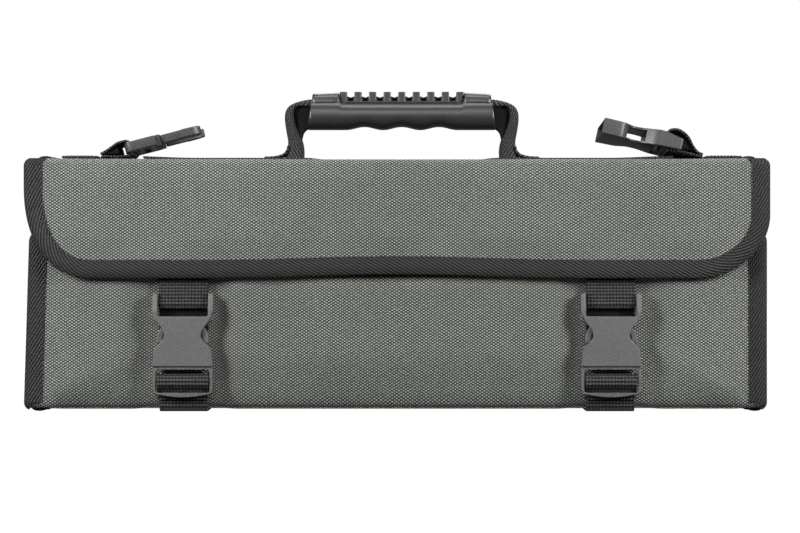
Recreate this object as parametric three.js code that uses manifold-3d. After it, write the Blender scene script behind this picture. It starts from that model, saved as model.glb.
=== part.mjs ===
// Fold-over chef knife case: stiffened fabric panels, two side-release buckles,
// a webbing handle with a moulded grip, and two shoulder-strap tabs on top.
// Millimetres. +Z is up, the front faces -Y and +X is the viewer's right.
import * as THREE from 'three';
import { mergeVertices } from 'three/addons/utils/BufferGeometryUtils.js';
import Module from 'manifold-3d';

const wasm = await Module();
wasm.setup();

// Overall case
const CASE_HALF_WIDTH = 230.5;
const FLAP_OVERHANG = 3;
const CASE_TOP = 159.2;
const INNER_DEPTH = 32;
const CORNER_RADIUS = 7;
const SIT_HEIGHT = 1.8;
const FRONT_FACE_Y = -15.5;

// Panel layers
const COVER_THICK = 1.2;
const BOARD_THICK = 1.6;
const LINING_THICK = 0.8;
const LAYER_GAP = 0.3;
const BOARD_INSET = 9;

// Binding tape
const TAPE_THICK = 1;
const TAPE_BAND = 11.5;

// Flap and front panel
const FLAP_DROP = 74.2;
const FLAP_CORNER = 34;
const FLAP_EDGE_WAVE = 2.4;
const FLAP_STRAP_LENGTH = 40;
const FLAP_TOP_ROUND = 3.6;
const FRONT_HEIGHT = 103;
const FRONT_TOP_RADIUS = 14;
const FRONT_FOOT_ROUND = 3;
const FRONT_FLARE = 2.4;

// Webbing
const WEBBING_WIDTH = 30.6;
const WEBBING_THICK = 1.5;
const TOP_WEBBING_LEFT = -140;
const TOP_WEBBING_RIGHT = 118;
const BASE_STRAP_RISE = 42;

// Front buckles
const BUCKLE_X = 134;
const BUCKLE_MOUTH_Z = 28.75;
const BUCKLE_DEPTH = 9;
const BUCKLE_HALF = 18.9;
const BUCKLE_WAIST_HALF = 11.5;
const COLLAR_LENGTH = 12.7;
const HOUSING_LENGTH = 45.6;
const PLATE_END = 31.2;
const SHOULDER_END = 35;
const CAVITY_LENGTH = 28;
const CAVITY_HALF = 14.8;
const HOUSING_WALL = 1.2;
const RUNNING_GAP = 0.3;
const SLOT_HALF = 15.9;
const BAR_RADIUS = 1.6;
const STRAP_BAR_RISE = 39;
const EAR_ROUND = 1.4;
const PLUG_FRAME_LENGTH = 19.2;
const PLUG_RAIL = 1.8;
const PLUG_END_BAR = 1.3;
const PLUG_SHOULDER = 1.6;
const PLUG_CORNER = 4.4;
const END_BAR_RADIUS = 3.3;
const LADDER_BAR_DROP = 8.4;
const LADDER_BAR_HEIGHT = 3.4;
const PRONG_HALF = 3.4;
const PRONG_LENGTH = 24;
const ARM_ROOT_RADIUS = 1.5;
const ARM_ROOT_X = 12.4;
const ARM_TIP = 25.6;
const ARM_BULGE = 16.2;
const EDGE_ROUND = 0.7;
const EAR_FRONT_Y = -6;
const PLUG_FRAME_DEPTH = 5.6;
const PLUG_BOW = 1.6;
const TONGUE_RISE = 2;
const STRAP_TAIL = 14;
const ARM_ROOT_Z = 3.8;
const ARM_DEPTH = 4.8;

// Handle
const HANDLE_CENTRE_X = 3;
const GRIP_TOP_HALF_LENGTH = 56.5;
const GRIP_BOTTOM_HALF_LENGTH = 60;
const FINGER_GAP = 17.1;
const GRIP_HEIGHT = 18;
const GRIP_DEPTH = 24;
const GRIP_COLLAR_LENGTH = 16;
const GRIP_COLLAR_RISE = 5.4;
const GRIP_COLLAR_FALL = 1.2;
const FINGER_GROOVES = 3;
const FINGER_PITCH = 22.6;
const FINGER_SHARE = 0.108;
const CORE_HALF_DEPTH = 8;
const CORE_SHARE = 0.205;
const CORE_RISE_SHARE = 0.44;
const SOCKET_LENGTH = 9.5;
const SOCKET_SHARE = 0.386;
const SOCKET_RISE_SHARE = 0.62;
const SOCKET_HALF_DEPTH = 8.6;
const INSERT_INSET = 1.2;
const INSERT_HALF_DEPTH = 6.6;
const INSERT_DEPTH_SHARE = 0.25;
const INSERT_WEB_RISE = 3;
const INSERT_BLOCK_RISE = 5.9;
const INSERT_BLOCKS = 9;
const INSERT_BLOCK_LENGTH = 4.5;
const LEG_GAP = 1.9;
const LEG_HALF_X = 5.2;
const LEG_HALF_Y = 6.5;
const FOOT_FLARE = 5;

// Shoulder-strap tabs
const TAB_WEBBING_WIDTH = 34.4;
const LEFT_TAB_INSET = 43.5;
const RIGHT_TAB_INSET = 37.5;
const TAB_BASE_LENGTH = 24;
const LEFT_TAB_PITCH = 14.5;
const RIGHT_TAB_PITCH = 12.2;
const LEFT_TAB_ROLL = 1;
const RIGHT_TAB_ROLL = 5;
const LEFT_TAB_BAR_RUN = 16.5;
const RIGHT_TAB_BAR_RUN = 22;

// Knife sleeves and handle loops inside
const SLEEVE_COUNT = 3;
const SLEEVE_HEIGHT = 40;
const SLEEVE_DEPTH = 6;
const SLEEVE_WALL = 1.2;
const SLEEVE_LENGTH = 250;
const SLEEVE_INSET = 25.5;
const SLEEVE_BOTTOM = 16;
const ELASTIC_DISTANCE = 75;
const ELASTIC_WIDTH = 32;
const ELASTIC_BULGE = 12;

// How far a cutting solid reaches past what it cuts
const OVERCUT = 5;

// Derived places
const TAPE_REACH = LAYER_GAP + TAPE_THICK;
const PANEL_THICK = COVER_THICK + BOARD_THICK + LINING_THICK + 2 * LAYER_GAP;
const BACK_FACE_Y = FRONT_FACE_Y + 2 * PANEL_THICK + INNER_DEPTH;
const FLAP_STAND_OFF = 2 * LAYER_GAP + WEBBING_THICK + 2 * TAPE_REACH;
const FLAP_FACE_Y = FRONT_FACE_Y - FLAP_STAND_OFF - PANEL_THICK;
const SPINE_FRONT_TOP_Y = FLAP_FACE_Y + PANEL_THICK + LAYER_GAP;
const SPINE_FRONT_BOTTOM_Y = FRONT_FACE_Y + PANEL_THICK + LAYER_GAP;
const TOP_CENTRE_Y = (SPINE_FRONT_TOP_Y + BACK_FACE_Y) / 2;
const TOP_WEBBING_Z = CASE_TOP + LAYER_GAP;
const DECK_Z = TOP_WEBBING_Z + WEBBING_THICK;
const TAB_SCALE = TAB_WEBBING_WIDTH / WEBBING_WIDTH;
const TAB_STEM = 2 * WEBBING_THICK + LAYER_GAP;
const HANDLE_PIVOT_Z = DECK_Z + LAYER_GAP + LEG_HALF_Y + 0.1;
const GRIP_BOTTOM_Z = DECK_Z + FINGER_GAP;
const GRIP_TOP_Z = GRIP_BOTTOM_Z + GRIP_HEIGHT;
const GRIP_COLLAR_X = GRIP_TOP_HALF_LENGTH - GRIP_COLLAR_LENGTH;
const LEG_X = GRIP_BOTTOM_HALF_LENGTH + LEG_GAP + LEG_HALF_X;
const CORE_Z = GRIP_BOTTOM_Z + CORE_RISE_SHARE * GRIP_HEIGHT;
const CORE_HALF_HEIGHT = CORE_SHARE * GRIP_HEIGHT;
const SOCKET_X = GRIP_TOP_HALF_LENGTH - SOCKET_LENGTH;
const SOCKET_Z = GRIP_BOTTOM_Z + SOCKET_RISE_SHARE * GRIP_HEIGHT;
const SOCKET_HALF_HEIGHT = SOCKET_SHARE * GRIP_HEIGHT;
const INSERT_FLOOR_Z = GRIP_TOP_Z - INSERT_DEPTH_SHARE * GRIP_HEIGHT;
const INSERT_BLOCK_Z = GRIP_TOP_Z + INSERT_BLOCK_RISE;
const INSERT_HALF_LENGTH = GRIP_COLLAR_X - INSERT_INSET;
const INSERT_PITCH = (2 * INSERT_HALF_LENGTH - INSERT_BLOCK_LENGTH) / (INSERT_BLOCKS - 1);
const FLAP_HALF_WIDTH = CASE_HALF_WIDTH + FLAP_OVERHANG;
const SLEEVE_LEFT = SLEEVE_INSET - CASE_HALF_WIDTH;
const ELASTIC_X = SLEEVE_LEFT + SLEEVE_LENGTH + ELASTIC_DISTANCE;
const STRAP_OUTER_Y = FRONT_FACE_Y - LAYER_GAP - WEBBING_THICK;
const BUCKLE_BACK_Y = STRAP_OUTER_Y - LAYER_GAP;
const FLAP_EDGE_Z = CASE_TOP - FLAP_DROP - TAPE_REACH;
const BUCKLE_MID_Y = -BUCKLE_DEPTH / 2;
const END_BAR_Z = -RUNNING_GAP - PLUG_FRAME_LENGTH + (PLUG_END_BAR + PLUG_BOW) / 2;

const fabric = new THREE.MeshStandardMaterial({ color: 0x6f736c, roughness: 0.85, metalness: 0 });
const tape = new THREE.MeshStandardMaterial({ color: 0x2c2c2d, roughness: 0.8, metalness: 0 });
const webbing = new THREE.MeshStandardMaterial({ color: 0x262627, roughness: 0.75, metalness: 0 });
const liner = new THREE.MeshStandardMaterial({ color: 0x1f2022, roughness: 0.9, metalness: 0 });
const board = new THREE.MeshStandardMaterial({ color: 0x3a3b3d, roughness: 0.6, metalness: 0 });
const acetal = new THREE.MeshStandardMaterial({ color: 0x636363, roughness: 0.5, metalness: 0 });
const rubber = new THREE.MeshStandardMaterial({ color: 0x3a3a3a, roughness: 0.55, metalness: 0 });

// A closed geometry as a manifold solid.
function toSolid(geometry) {
  geometry.deleteAttribute('normal');
  geometry.deleteAttribute('uv');
  const merged = mergeVertices(geometry, 1e-5);
  const vertProperties = Float32Array.from(merged.attributes.position.array);
  const triVerts = Uint32Array.from(merged.index.array);
  return new wasm.Manifold(new wasm.Mesh({ numProp: 3, vertProperties, triVerts }));
}

// A manifold solid as a geometry.
function toGeometry(solid) {
  const { vertProperties, triVerts } = solid.getMesh();
  const geometry = new THREE.BufferGeometry();
  geometry.setAttribute('position', new THREE.BufferAttribute(vertProperties, 3));
  geometry.setIndex(new THREE.BufferAttribute(triVerts, 1));
  geometry.computeVertexNormals();
  return geometry;
}

// A solid or closed geometry as a named mesh.
function piece(name, shape, material) {
  const geometry = shape.isBufferGeometry ? shape : toGeometry(shape);
  const mesh = new THREE.Mesh(geometry, material);
  mesh.name = name;
  return mesh;
}

function box(x0, x1, y0, y1, z0, z1) {
  const geometry = new THREE.BoxGeometry(x1 - x0, y1 - y0, z1 - z0);
  geometry.translate((x0 + x1) / 2, (y0 + y1) / 2, (z0 + z1) / 2);
  return toSolid(geometry);
}

// An outline drawn in X and Z, carried from y0 to y1.
function extrudeAlongY(shape, y0, y1, curveSegments = 6) {
  const geometry = new THREE.ExtrudeGeometry(shape, { depth: y1 - y0, bevelEnabled: false, curveSegments });
  geometry.rotateX(Math.PI / 2);
  geometry.translate(0, y1, 0);
  return toSolid(geometry);
}

// An outline drawn in Y and Z, carried from x0 to x1.
function extrudeAlongX(shape, x0, x1, curveSegments = 6) {
  const geometry = new THREE.ExtrudeGeometry(shape, { depth: x1 - x0, bevelEnabled: false, curveSegments });
  geometry.rotateY(Math.PI / 2);
  geometry.rotateX(Math.PI / 2);
  geometry.translate(x0, 0, 0);
  return toSolid(geometry);
}

// An outline drawn in X and Y, carried from z0 to z1.
function extrudeUp(shape, z0, z1, curveSegments = 4) {
  const geometry = new THREE.ExtrudeGeometry(shape, { depth: z1 - z0, bevelEnabled: false, curveSegments });
  geometry.translate(0, 0, z0);
  return toSolid(geometry);
}

function polygon(points) {
  return new THREE.Shape(points.map(([u, v]) => new THREE.Vector2(u, v)));
}

function roundedRect(u0, u1, v0, v1, radius) {
  const shape = new THREE.Shape();
  shape.absarc(u1 - radius, v0 + radius, radius, -Math.PI / 2, 0);
  shape.absarc(u1 - radius, v1 - radius, radius, 0, Math.PI / 2);
  shape.absarc(u0 + radius, v1 - radius, radius, Math.PI / 2, Math.PI);
  shape.absarc(u0 + radius, v0 + radius, radius, Math.PI, 1.5 * Math.PI);
  return shape;
}

// Skins closed rings of points, all with the same count, and caps both ends.
function loft(rings) {
  const count = rings[0].length;
  const positions = rings.flat().flatMap((p) => [p.x, p.y, p.z]);
  const index = [];
  for (let r = 0; r < rings.length - 1; r += 1) {
    for (let i = 0; i < count; i += 1) {
      const a = r * count + i;
      const b = r * count + ((i + 1) % count);
      index.push(a, b, b + count);
      index.push(a, b + count, a + count);
    }
  }
  const last = (rings.length - 1) * count;
  for (let i = 1; i < count - 1; i += 1) {
    index.push(0, i + 1, i);
    index.push(last, last + i, last + i + 1);
  }
  const geometry = new THREE.BufferGeometry();
  geometry.setAttribute('position', new THREE.Float32BufferAttribute(positions, 3));
  geometry.setIndex(index);
  const solid = toSolid(geometry);
  if (solid.volume() > 0) return solid;
  geometry.setIndex(index.flatMap((_, i) => (i % 3 === 0 ? [index[i], index[i + 2], index[i + 1]] : [])));
  return toSolid(geometry);
}

// The flap's outline, grown by d: straight sides, round lower corners and a lower edge
// that hangs a little lower at the buckles than in the middle.
function flapOutline(d, top) {
  const half = FLAP_HALF_WIDTH - TAPE_REACH + d;
  const low = CASE_TOP - FLAP_DROP - d;
  const radius = FLAP_CORNER - TAPE_REACH + d;
  const shape = new THREE.Shape();
  shape.moveTo(half, top);
  shape.lineTo(-half, top);
  shape.absarc(-half + radius, low + radius, radius, Math.PI, 1.5 * Math.PI);
  const span = half - radius;
  const steps = 16;
  for (let i = 1; i < steps; i += 1) {
    const x = -span + (2 * span * i) / steps;
    const fade = Math.cos((Math.PI * x) / (2 * span));
    shape.lineTo(x, low + (FLAP_EDGE_WAVE * fade * (1 + Math.cos((Math.PI * x) / BUCKLE_X))) / 2);
  }
  shape.absarc(half - radius, low + radius, radius, 1.5 * Math.PI, 2 * Math.PI);
  return shape;
}

// The front panel's outline, grown by d: round upper corners, sides that widen downwards
// and nearly square lower corners.
function frontOutline(d, low) {
  const half = CASE_HALF_WIDTH - TAPE_REACH + d;
  const high = SIT_HEIGHT + FRONT_HEIGHT + d;
  const radius = FRONT_TOP_RADIUS + d;
  const shape = new THREE.Shape();
  shape.moveTo(-half - FRONT_FLARE, low);
  shape.lineTo(half + FRONT_FLARE, low);
  shape.absarc(half - radius, high - radius, radius, 0, Math.PI / 2);
  shape.absarc(-half + radius, high - radius, radius, Math.PI / 2, Math.PI);
  return shape;
}

// A cover's side profile: an upright sheet whose fold turns back over the panel's thickness.
// foldZ is the height of the fold, endZ the other edge's, and side is 1 for a fold on top.
function lipProfile(faceY, foldZ, endZ, side, round) {
  const inner = round - COVER_THICK;
  const turn = foldZ - side * round;
  const shape = new THREE.Shape();
  shape.moveTo(faceY, endZ);
  shape.lineTo(faceY, turn);
  shape.absarc(faceY + round, turn, round, Math.PI, (side * Math.PI) / 2, side > 0);
  shape.lineTo(faceY + PANEL_THICK, foldZ);
  shape.lineTo(faceY + PANEL_THICK, foldZ - side * COVER_THICK);
  shape.lineTo(faceY + round, foldZ - side * COVER_THICK);
  shape.absarc(faceY + round, turn, inner, (side * Math.PI) / 2, Math.PI, side < 0);
  shape.lineTo(faceY + COVER_THICK, endZ);
  return shape;
}

// A U of tape over a panel's edge: outline(d) is the panel's own shape grown by d.
function edgeTape(outline, y0, y1, trim) {
  const whole = extrudeAlongY(outline(TAPE_REACH, 0), y0 - TAPE_REACH, y1 + TAPE_REACH);
  const window = extrudeAlongY(outline(TAPE_REACH - TAPE_BAND, OVERCUT), y0 - OVERCUT, y1 + OVERCUT);
  const slot = extrudeAlongY(outline(LAYER_GAP, OVERCUT), y0 - LAYER_GAP, y1 + LAYER_GAP);
  return whole.subtract(window).subtract(slot).subtract(trim);
}

function makeFlap() {
  const y0 = FLAP_FACE_Y;
  const y1 = y0 + PANEL_THICK;
  const half = FLAP_HALF_WIDTH;
  const boardY = y0 + COVER_THICK + LAYER_GAP;
  const underLip = CASE_TOP - COVER_THICK - LAYER_GAP;
  const profile = lipProfile(y0, CASE_TOP, FLAP_EDGE_Z - OVERCUT, 1, FLAP_TOP_ROUND);
  const cover = extrudeAlongX(profile, -half, half).intersect(
    extrudeAlongY(flapOutline(0, CASE_TOP), y0, y1),
  );
  const outline = (d, extra) => flapOutline(d, CASE_TOP + extra);
  const trim = box(
    -half - OVERCUT, half + OVERCUT,
    y1 + 0.01, y1 + OVERCUT,
    CASE_TOP - PANEL_THICK - 2 * TAPE_REACH, CASE_TOP + OVERCUT,
  );
  const boardOutline = flapOutline(-BOARD_INSET, CASE_TOP - BOARD_INSET);
  const strapY = FRONT_FACE_Y - TAPE_REACH - LAYER_GAP;
  const strap = (x) => box(
    x - WEBBING_WIDTH / 2, x + WEBBING_WIDTH / 2,
    strapY - WEBBING_THICK, strapY,
    FLAP_EDGE_Z, FLAP_EDGE_Z + FLAP_STRAP_LENGTH,
  );
  return [
    piece('flap_cover', cover, fabric),
    piece('flap_board', extrudeAlongY(boardOutline, boardY, boardY + BOARD_THICK), board),
    piece('flap_lining', extrudeAlongY(flapOutline(0, underLip), y1 - LINING_THICK, y1), liner),
    piece('flap_binding', edgeTape(outline, y0, y1, trim), tape),
    piece('left_flap_strap', strap(-BUCKLE_X), webbing),
    piece('right_flap_strap', strap(BUCKLE_X), webbing),
  ];
}

// The strap that runs up the front to the buckle's frame, with a short foot under the fold.
function frontStrap(x) {
  const top = BUCKLE_MOUTH_Z - RUNNING_GAP - PLUG_FRAME_LENGTH + 2;
  const outer = STRAP_OUTER_Y;
  const foot = FRONT_FACE_Y + PANEL_THICK - 0.6;
  const profile = new THREE.Shape();
  profile.moveTo(outer, top);
  profile.lineTo(outer, WEBBING_THICK);
  profile.absarc(outer + WEBBING_THICK, WEBBING_THICK, WEBBING_THICK, Math.PI, 1.5 * Math.PI);
  profile.lineTo(foot, 0);
  profile.lineTo(foot, WEBBING_THICK);
  profile.lineTo(outer + WEBBING_THICK, WEBBING_THICK);
  profile.lineTo(outer + WEBBING_THICK, top);
  return extrudeAlongX(profile, x - WEBBING_WIDTH / 2, x + WEBBING_WIDTH / 2);
}

function makeFront() {
  const y0 = FRONT_FACE_Y;
  const y1 = y0 + PANEL_THICK;
  const half = CASE_HALF_WIDTH + FRONT_FLARE;
  const boardY = y0 + COVER_THICK + LAYER_GAP;
  const overLip = SIT_HEIGHT + COVER_THICK + LAYER_GAP;
  const top = SIT_HEIGHT + FRONT_HEIGHT;
  const profile = lipProfile(y0, SIT_HEIGHT, top + OVERCUT, -1, FRONT_FOOT_ROUND);
  const cover = extrudeAlongX(profile, -half, half).intersect(
    extrudeAlongY(frontOutline(0, SIT_HEIGHT), y0, y1),
  );
  const outline = (d, extra) => frontOutline(d, SIT_HEIGHT - extra);
  const trim = box(
    -half - OVERCUT, half + OVERCUT,
    y1 + 0.01, y1 + OVERCUT,
    SIT_HEIGHT - OVERCUT, SIT_HEIGHT + PANEL_THICK + 2 * TAPE_REACH,
  );
  const boardOutline = frontOutline(-BOARD_INSET, SIT_HEIGHT + BOARD_INSET);
  return [
    piece('front_cover', cover, fabric),
    piece('front_board', extrudeAlongY(boardOutline, boardY, boardY + BOARD_THICK), board),
    piece('front_lining', extrudeAlongY(frontOutline(0, overLip), y1 - LINING_THICK, y1), liner),
    piece('front_binding', edgeTape(outline, y0, y1, trim), tape),
    piece('left_front_strap', frontStrap(-BUCKLE_X), webbing),
    piece('right_front_strap', frontStrap(BUCKLE_X), webbing),
  ];
}

// The case's C-shaped side profile between two depths under the outer skin:
// top, back and bottom in one sheet with round back corners.
function shellProfile(d0, d1) {
  const path = (d) => {
    const radius = Math.max(CORNER_RADIUS - d, 1.2);
    const back = BACK_FACE_Y - d;
    const high = CASE_TOP - d;
    const low = SIT_HEIGHT + d;
    const run = new THREE.Path();
    run.moveTo(SPINE_FRONT_TOP_Y, high);
    run.absarc(back - radius, high - radius, radius, Math.PI / 2, 0, true);
    run.absarc(back - radius, low + radius, radius, 0, -Math.PI / 2, true);
    run.lineTo(SPINE_FRONT_BOTTOM_Y, low);
    return run.getPoints(6);
  };
  const outer = path(d0);
  const inner = path(d1).reverse();
  return new THREE.Shape([...outer, ...inner]);
}

// A strap that runs under the bottom and a little way up the back.
function baseStrap(x) {
  const d = -LAYER_GAP;
  const low = SIT_HEIGHT + d;
  const back = BACK_FACE_Y - d;
  const radius = CORNER_RADIUS - d;
  const start = FRONT_FACE_Y + PANEL_THICK + 2 * LAYER_GAP;
  const high = SIT_HEIGHT + BASE_STRAP_RISE;
  const profile = new THREE.Shape();
  profile.moveTo(start, low);
  profile.absarc(back - radius, low + radius, radius, 1.5 * Math.PI, 2 * Math.PI);
  profile.lineTo(back, high);
  profile.lineTo(back + WEBBING_THICK, high);
  profile.absarc(back - radius, low + radius, radius + WEBBING_THICK, 2 * Math.PI, 1.5 * Math.PI, true);
  profile.lineTo(start, low - WEBBING_THICK);
  return extrudeAlongX(profile, x - WEBBING_WIDTH / 2, x + WEBBING_WIDTH / 2);
}

// Flat sleeves for blades: one front wall on ribs that stand on the back lining, closed at the left.
function knifeSleeves() {
  const back = BACK_FACE_Y - PANEL_THICK - LAYER_GAP;
  const front = back - SLEEVE_DEPTH;
  const right = SLEEVE_LEFT + SLEEVE_LENGTH;
  const rib = SLEEVE_WALL;
  const low = SLEEVE_BOTTOM;
  const high = low + SLEEVE_COUNT * SLEEVE_HEIGHT + rib;
  let sleeves = box(SLEEVE_LEFT, right, front - rib, front, low, high);
  sleeves = sleeves.add(box(SLEEVE_LEFT, SLEEVE_LEFT + rib, front - rib, back, low, high));
  for (let i = 0; i <= SLEEVE_COUNT; i += 1) {
    const z = low + i * SLEEVE_HEIGHT;
    sleeves = sleeves.add(box(SLEEVE_LEFT, right, front - rib, back, z, z + rib));
  }
  return sleeves;
}

// An elastic band sewn to the lining between three arches that hold the knives' handles.
function handleElastic() {
  const back = BACK_FACE_Y - PANEL_THICK - LAYER_GAP;
  const points = [];
  const steps = 12;
  const count = SLEEVE_COUNT * steps;
  const rise = (i) => ELASTIC_BULGE * Math.abs(Math.sin((Math.PI * i) / steps)) ** 0.7;
  for (let i = 0; i <= count; i += 1) {
    points.push([back - SLEEVE_WALL - rise(i), SLEEVE_BOTTOM + (i * SLEEVE_HEIGHT) / steps]);
  }
  for (let i = count; i >= 0; i -= 1) {
    points.push([back - (i % steps === 0 ? 0 : rise(i)), SLEEVE_BOTTOM + (i * SLEEVE_HEIGHT) / steps]);
  }
  return extrudeAlongX(polygon(points), ELASTIC_X, ELASTIC_X + ELASTIC_WIDTH);
}

function makeCase() {
  const half = CASE_HALF_WIDTH - TAPE_REACH;
  const boardDepth = COVER_THICK + LAYER_GAP;
  const boardY = BACK_FACE_Y - boardDepth;
  const boardHalf = half - BOARD_INSET;
  const liningProfile = shellProfile(PANEL_THICK - LINING_THICK, PANEL_THICK);
  const tapeSide = (side) => {
    const across = (profile, from, to) => {
      const ends = [side * from, side * to].sort((a, b) => a - b);
      return extrudeAlongX(profile, ends[0], ends[1]);
    };
    const inside = half + TAPE_REACH - TAPE_BAND;
    const band = across(shellProfile(-TAPE_REACH, PANEL_THICK + TAPE_REACH), inside, half + TAPE_REACH);
    const slotProfile = shellProfile(-LAYER_GAP, PANEL_THICK + LAYER_GAP);
    const slot = across(slotProfile, inside - OVERCUT, half + LAYER_GAP);
    return band.subtract(slot);
  };
  const backBoard = box(
    -boardHalf, boardHalf,
    boardY - BOARD_THICK, boardY,
    SIT_HEIGHT + BOARD_INSET, CASE_TOP - BOARD_INSET,
  );
  const bottomZ = SIT_HEIGHT + boardDepth;
  const bottomBoard = box(
    -boardHalf, boardHalf,
    SPINE_FRONT_BOTTOM_Y + 3, BACK_FACE_Y - BOARD_INSET,
    bottomZ, bottomZ + BOARD_THICK,
  );
  const topWebbing = box(
    TOP_WEBBING_LEFT, TOP_WEBBING_RIGHT,
    TOP_CENTRE_Y - WEBBING_WIDTH / 2, TOP_CENTRE_Y + WEBBING_WIDTH / 2,
    TOP_WEBBING_Z, DECK_Z,
  );
  const flare = (side) => {
    const inner = HANDLE_CENTRE_X + side * (LEG_X + LEG_HALF_X + LAYER_GAP);
    const ramp = new THREE.Shape();
    ramp.moveTo(inner, TOP_WEBBING_Z);
    ramp.lineTo(inner, DECK_Z + FOOT_FLARE);
    ramp.quadraticCurveTo(inner + side * 0.8, DECK_Z + 0.8, inner + side * FOOT_FLARE, DECK_Z);
    ramp.lineTo(inner + side * FOOT_FLARE, TOP_WEBBING_Z);
    return extrudeAlongY(ramp, TOP_CENTRE_Y - LEG_HALF_Y, TOP_CENTRE_Y + LEG_HALF_Y);
  };
  const tabBase = (x, side) => {
    const ends = [x + side * (TAB_STEM / 2 + LAYER_GAP), x + side * TAB_BASE_LENGTH].sort((a, b) => a - b);
    return box(
      ends[0], ends[1],
      TOP_CENTRE_Y - TAB_WEBBING_WIDTH / 2, TOP_CENTRE_Y + TAB_WEBBING_WIDTH / 2,
      TOP_WEBBING_Z, DECK_Z,
    );
  };
  return [
    piece('case_cover', extrudeAlongX(shellProfile(0, COVER_THICK), -half, half), fabric),
    piece('case_lining', extrudeAlongX(liningProfile, -half, half), liner),
    piece('back_board', backBoard, board),
    piece('bottom_board', bottomBoard, board),
    piece('case_binding_right', tapeSide(1), tape),
    piece('case_binding_left', tapeSide(-1), tape),
    piece('knife_sleeves', knifeSleeves(), liner),
    piece('handle_elastic', handleElastic(), webbing),
    piece('top_webbing', topWebbing.add(flare(1)).add(flare(-1)), webbing),
    piece('left_tab_base', tabBase(LEFT_TAB_INSET - CASE_HALF_WIDTH, -1), webbing),
    piece('right_tab_base', tabBase(CASE_HALF_WIDTH - RIGHT_TAB_INSET, 1), webbing),
    piece('left_base_strap', baseStrap(-BUCKLE_X), webbing),
    piece('right_base_strap', baseStrap(BUCKLE_X), webbing),
  ];
}

// Buckle parts share one frame: X across the webbing, Z along it with 0 at the housing's
// mouth, and Y from 0 at the back to minus the depth at the front.

// An outline with its front and back edges eased.
function easedPlate(shape, y0, y1, ease) {
  const geometry = new THREE.ExtrudeGeometry(shape, {
    depth: y1 - y0 - 2 * ease,
    bevelEnabled: true,
    bevelThickness: ease,
    bevelSize: ease,
    bevelOffset: -ease,
    bevelSegments: 2,
    curveSegments: 5,
  });
  geometry.rotateX(Math.PI / 2);
  geometry.translate(0, y1 - ease, 0);
  return toSolid(geometry);
}

function crossBar(radius, half, y, z) {
  const geometry = new THREE.CylinderGeometry(radius, radius, 2 * half, 12);
  geometry.rotateZ(Math.PI / 2);
  geometry.translate(0, y, z);
  return toSolid(geometry);
}

// The housing's face: a collar at the mouth, a waist where the arms show, and two ears.
function housingOutline() {
  const half = BUCKLE_HALF;
  const waist = BUCKLE_WAIST_HALF;
  const top = HOUSING_LENGTH;
  const side = new THREE.Path();
  side.moveTo(half, 0);
  side.lineTo(half - 1, COLLAR_LENGTH - 3);
  side.bezierCurveTo(
    half - 1.3, COLLAR_LENGTH,
    half - 4, COLLAR_LENGTH + 1,
    waist + 1.6, COLLAR_LENGTH + 3,
  );
  side.quadraticCurveTo(waist, COLLAR_LENGTH + 4.2, waist, COLLAR_LENGTH + 7);
  side.bezierCurveTo(waist, COLLAR_LENGTH + 12.5, half, PLATE_END - 3, half, SHOULDER_END);
  side.lineTo(half, top - EAR_ROUND);
  side.quadraticCurveTo(half, top, half - EAR_ROUND, top);
  side.lineTo(SLOT_HALF, top);
  side.lineTo(SLOT_HALF, PLATE_END + 1.5);
  side.quadraticCurveTo(SLOT_HALF, PLATE_END, SLOT_HALF - 1.5, PLATE_END);
  const right = side.getPoints(5);
  const left = right.map((p) => new THREE.Vector2(-p.x, p.y)).reverse();
  return new THREE.Shape([...right, ...left]);
}

function buckleHousing() {
  const cavity = polygon([
    [-CAVITY_HALF, -1],
    [CAVITY_HALF, -1],
    [CAVITY_HALF, CAVITY_LENGTH - 4],
    [CAVITY_HALF - 4, CAVITY_LENGTH],
    [4 - CAVITY_HALF, CAVITY_LENGTH],
    [-CAVITY_HALF, CAVITY_LENGTH - 4],
  ]);
  const earSlope = polygon([
    [-BUCKLE_DEPTH - 1, PLATE_END + 2],
    [-BUCKLE_DEPTH, PLATE_END + 2],
    [EAR_FRONT_Y, HOUSING_LENGTH + 1],
    [-BUCKLE_DEPTH - 1, HOUSING_LENGTH + 1],
  ]);
  const body = easedPlate(housingOutline(), -BUCKLE_DEPTH, 0, EDGE_ROUND);
  const hollow = extrudeAlongY(cavity, HOUSING_WALL - BUCKLE_DEPTH, -HOUSING_WALL);
  const bar = crossBar(BAR_RADIUS, SLOT_HALF + 1, -BAR_RADIUS, STRAP_BAR_RISE);
  const slope = extrudeAlongX(earSlope, -BUCKLE_HALF - 1, BUCKLE_HALF + 1);
  return body.subtract(hollow).subtract(slope).add(bar);
}

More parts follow.
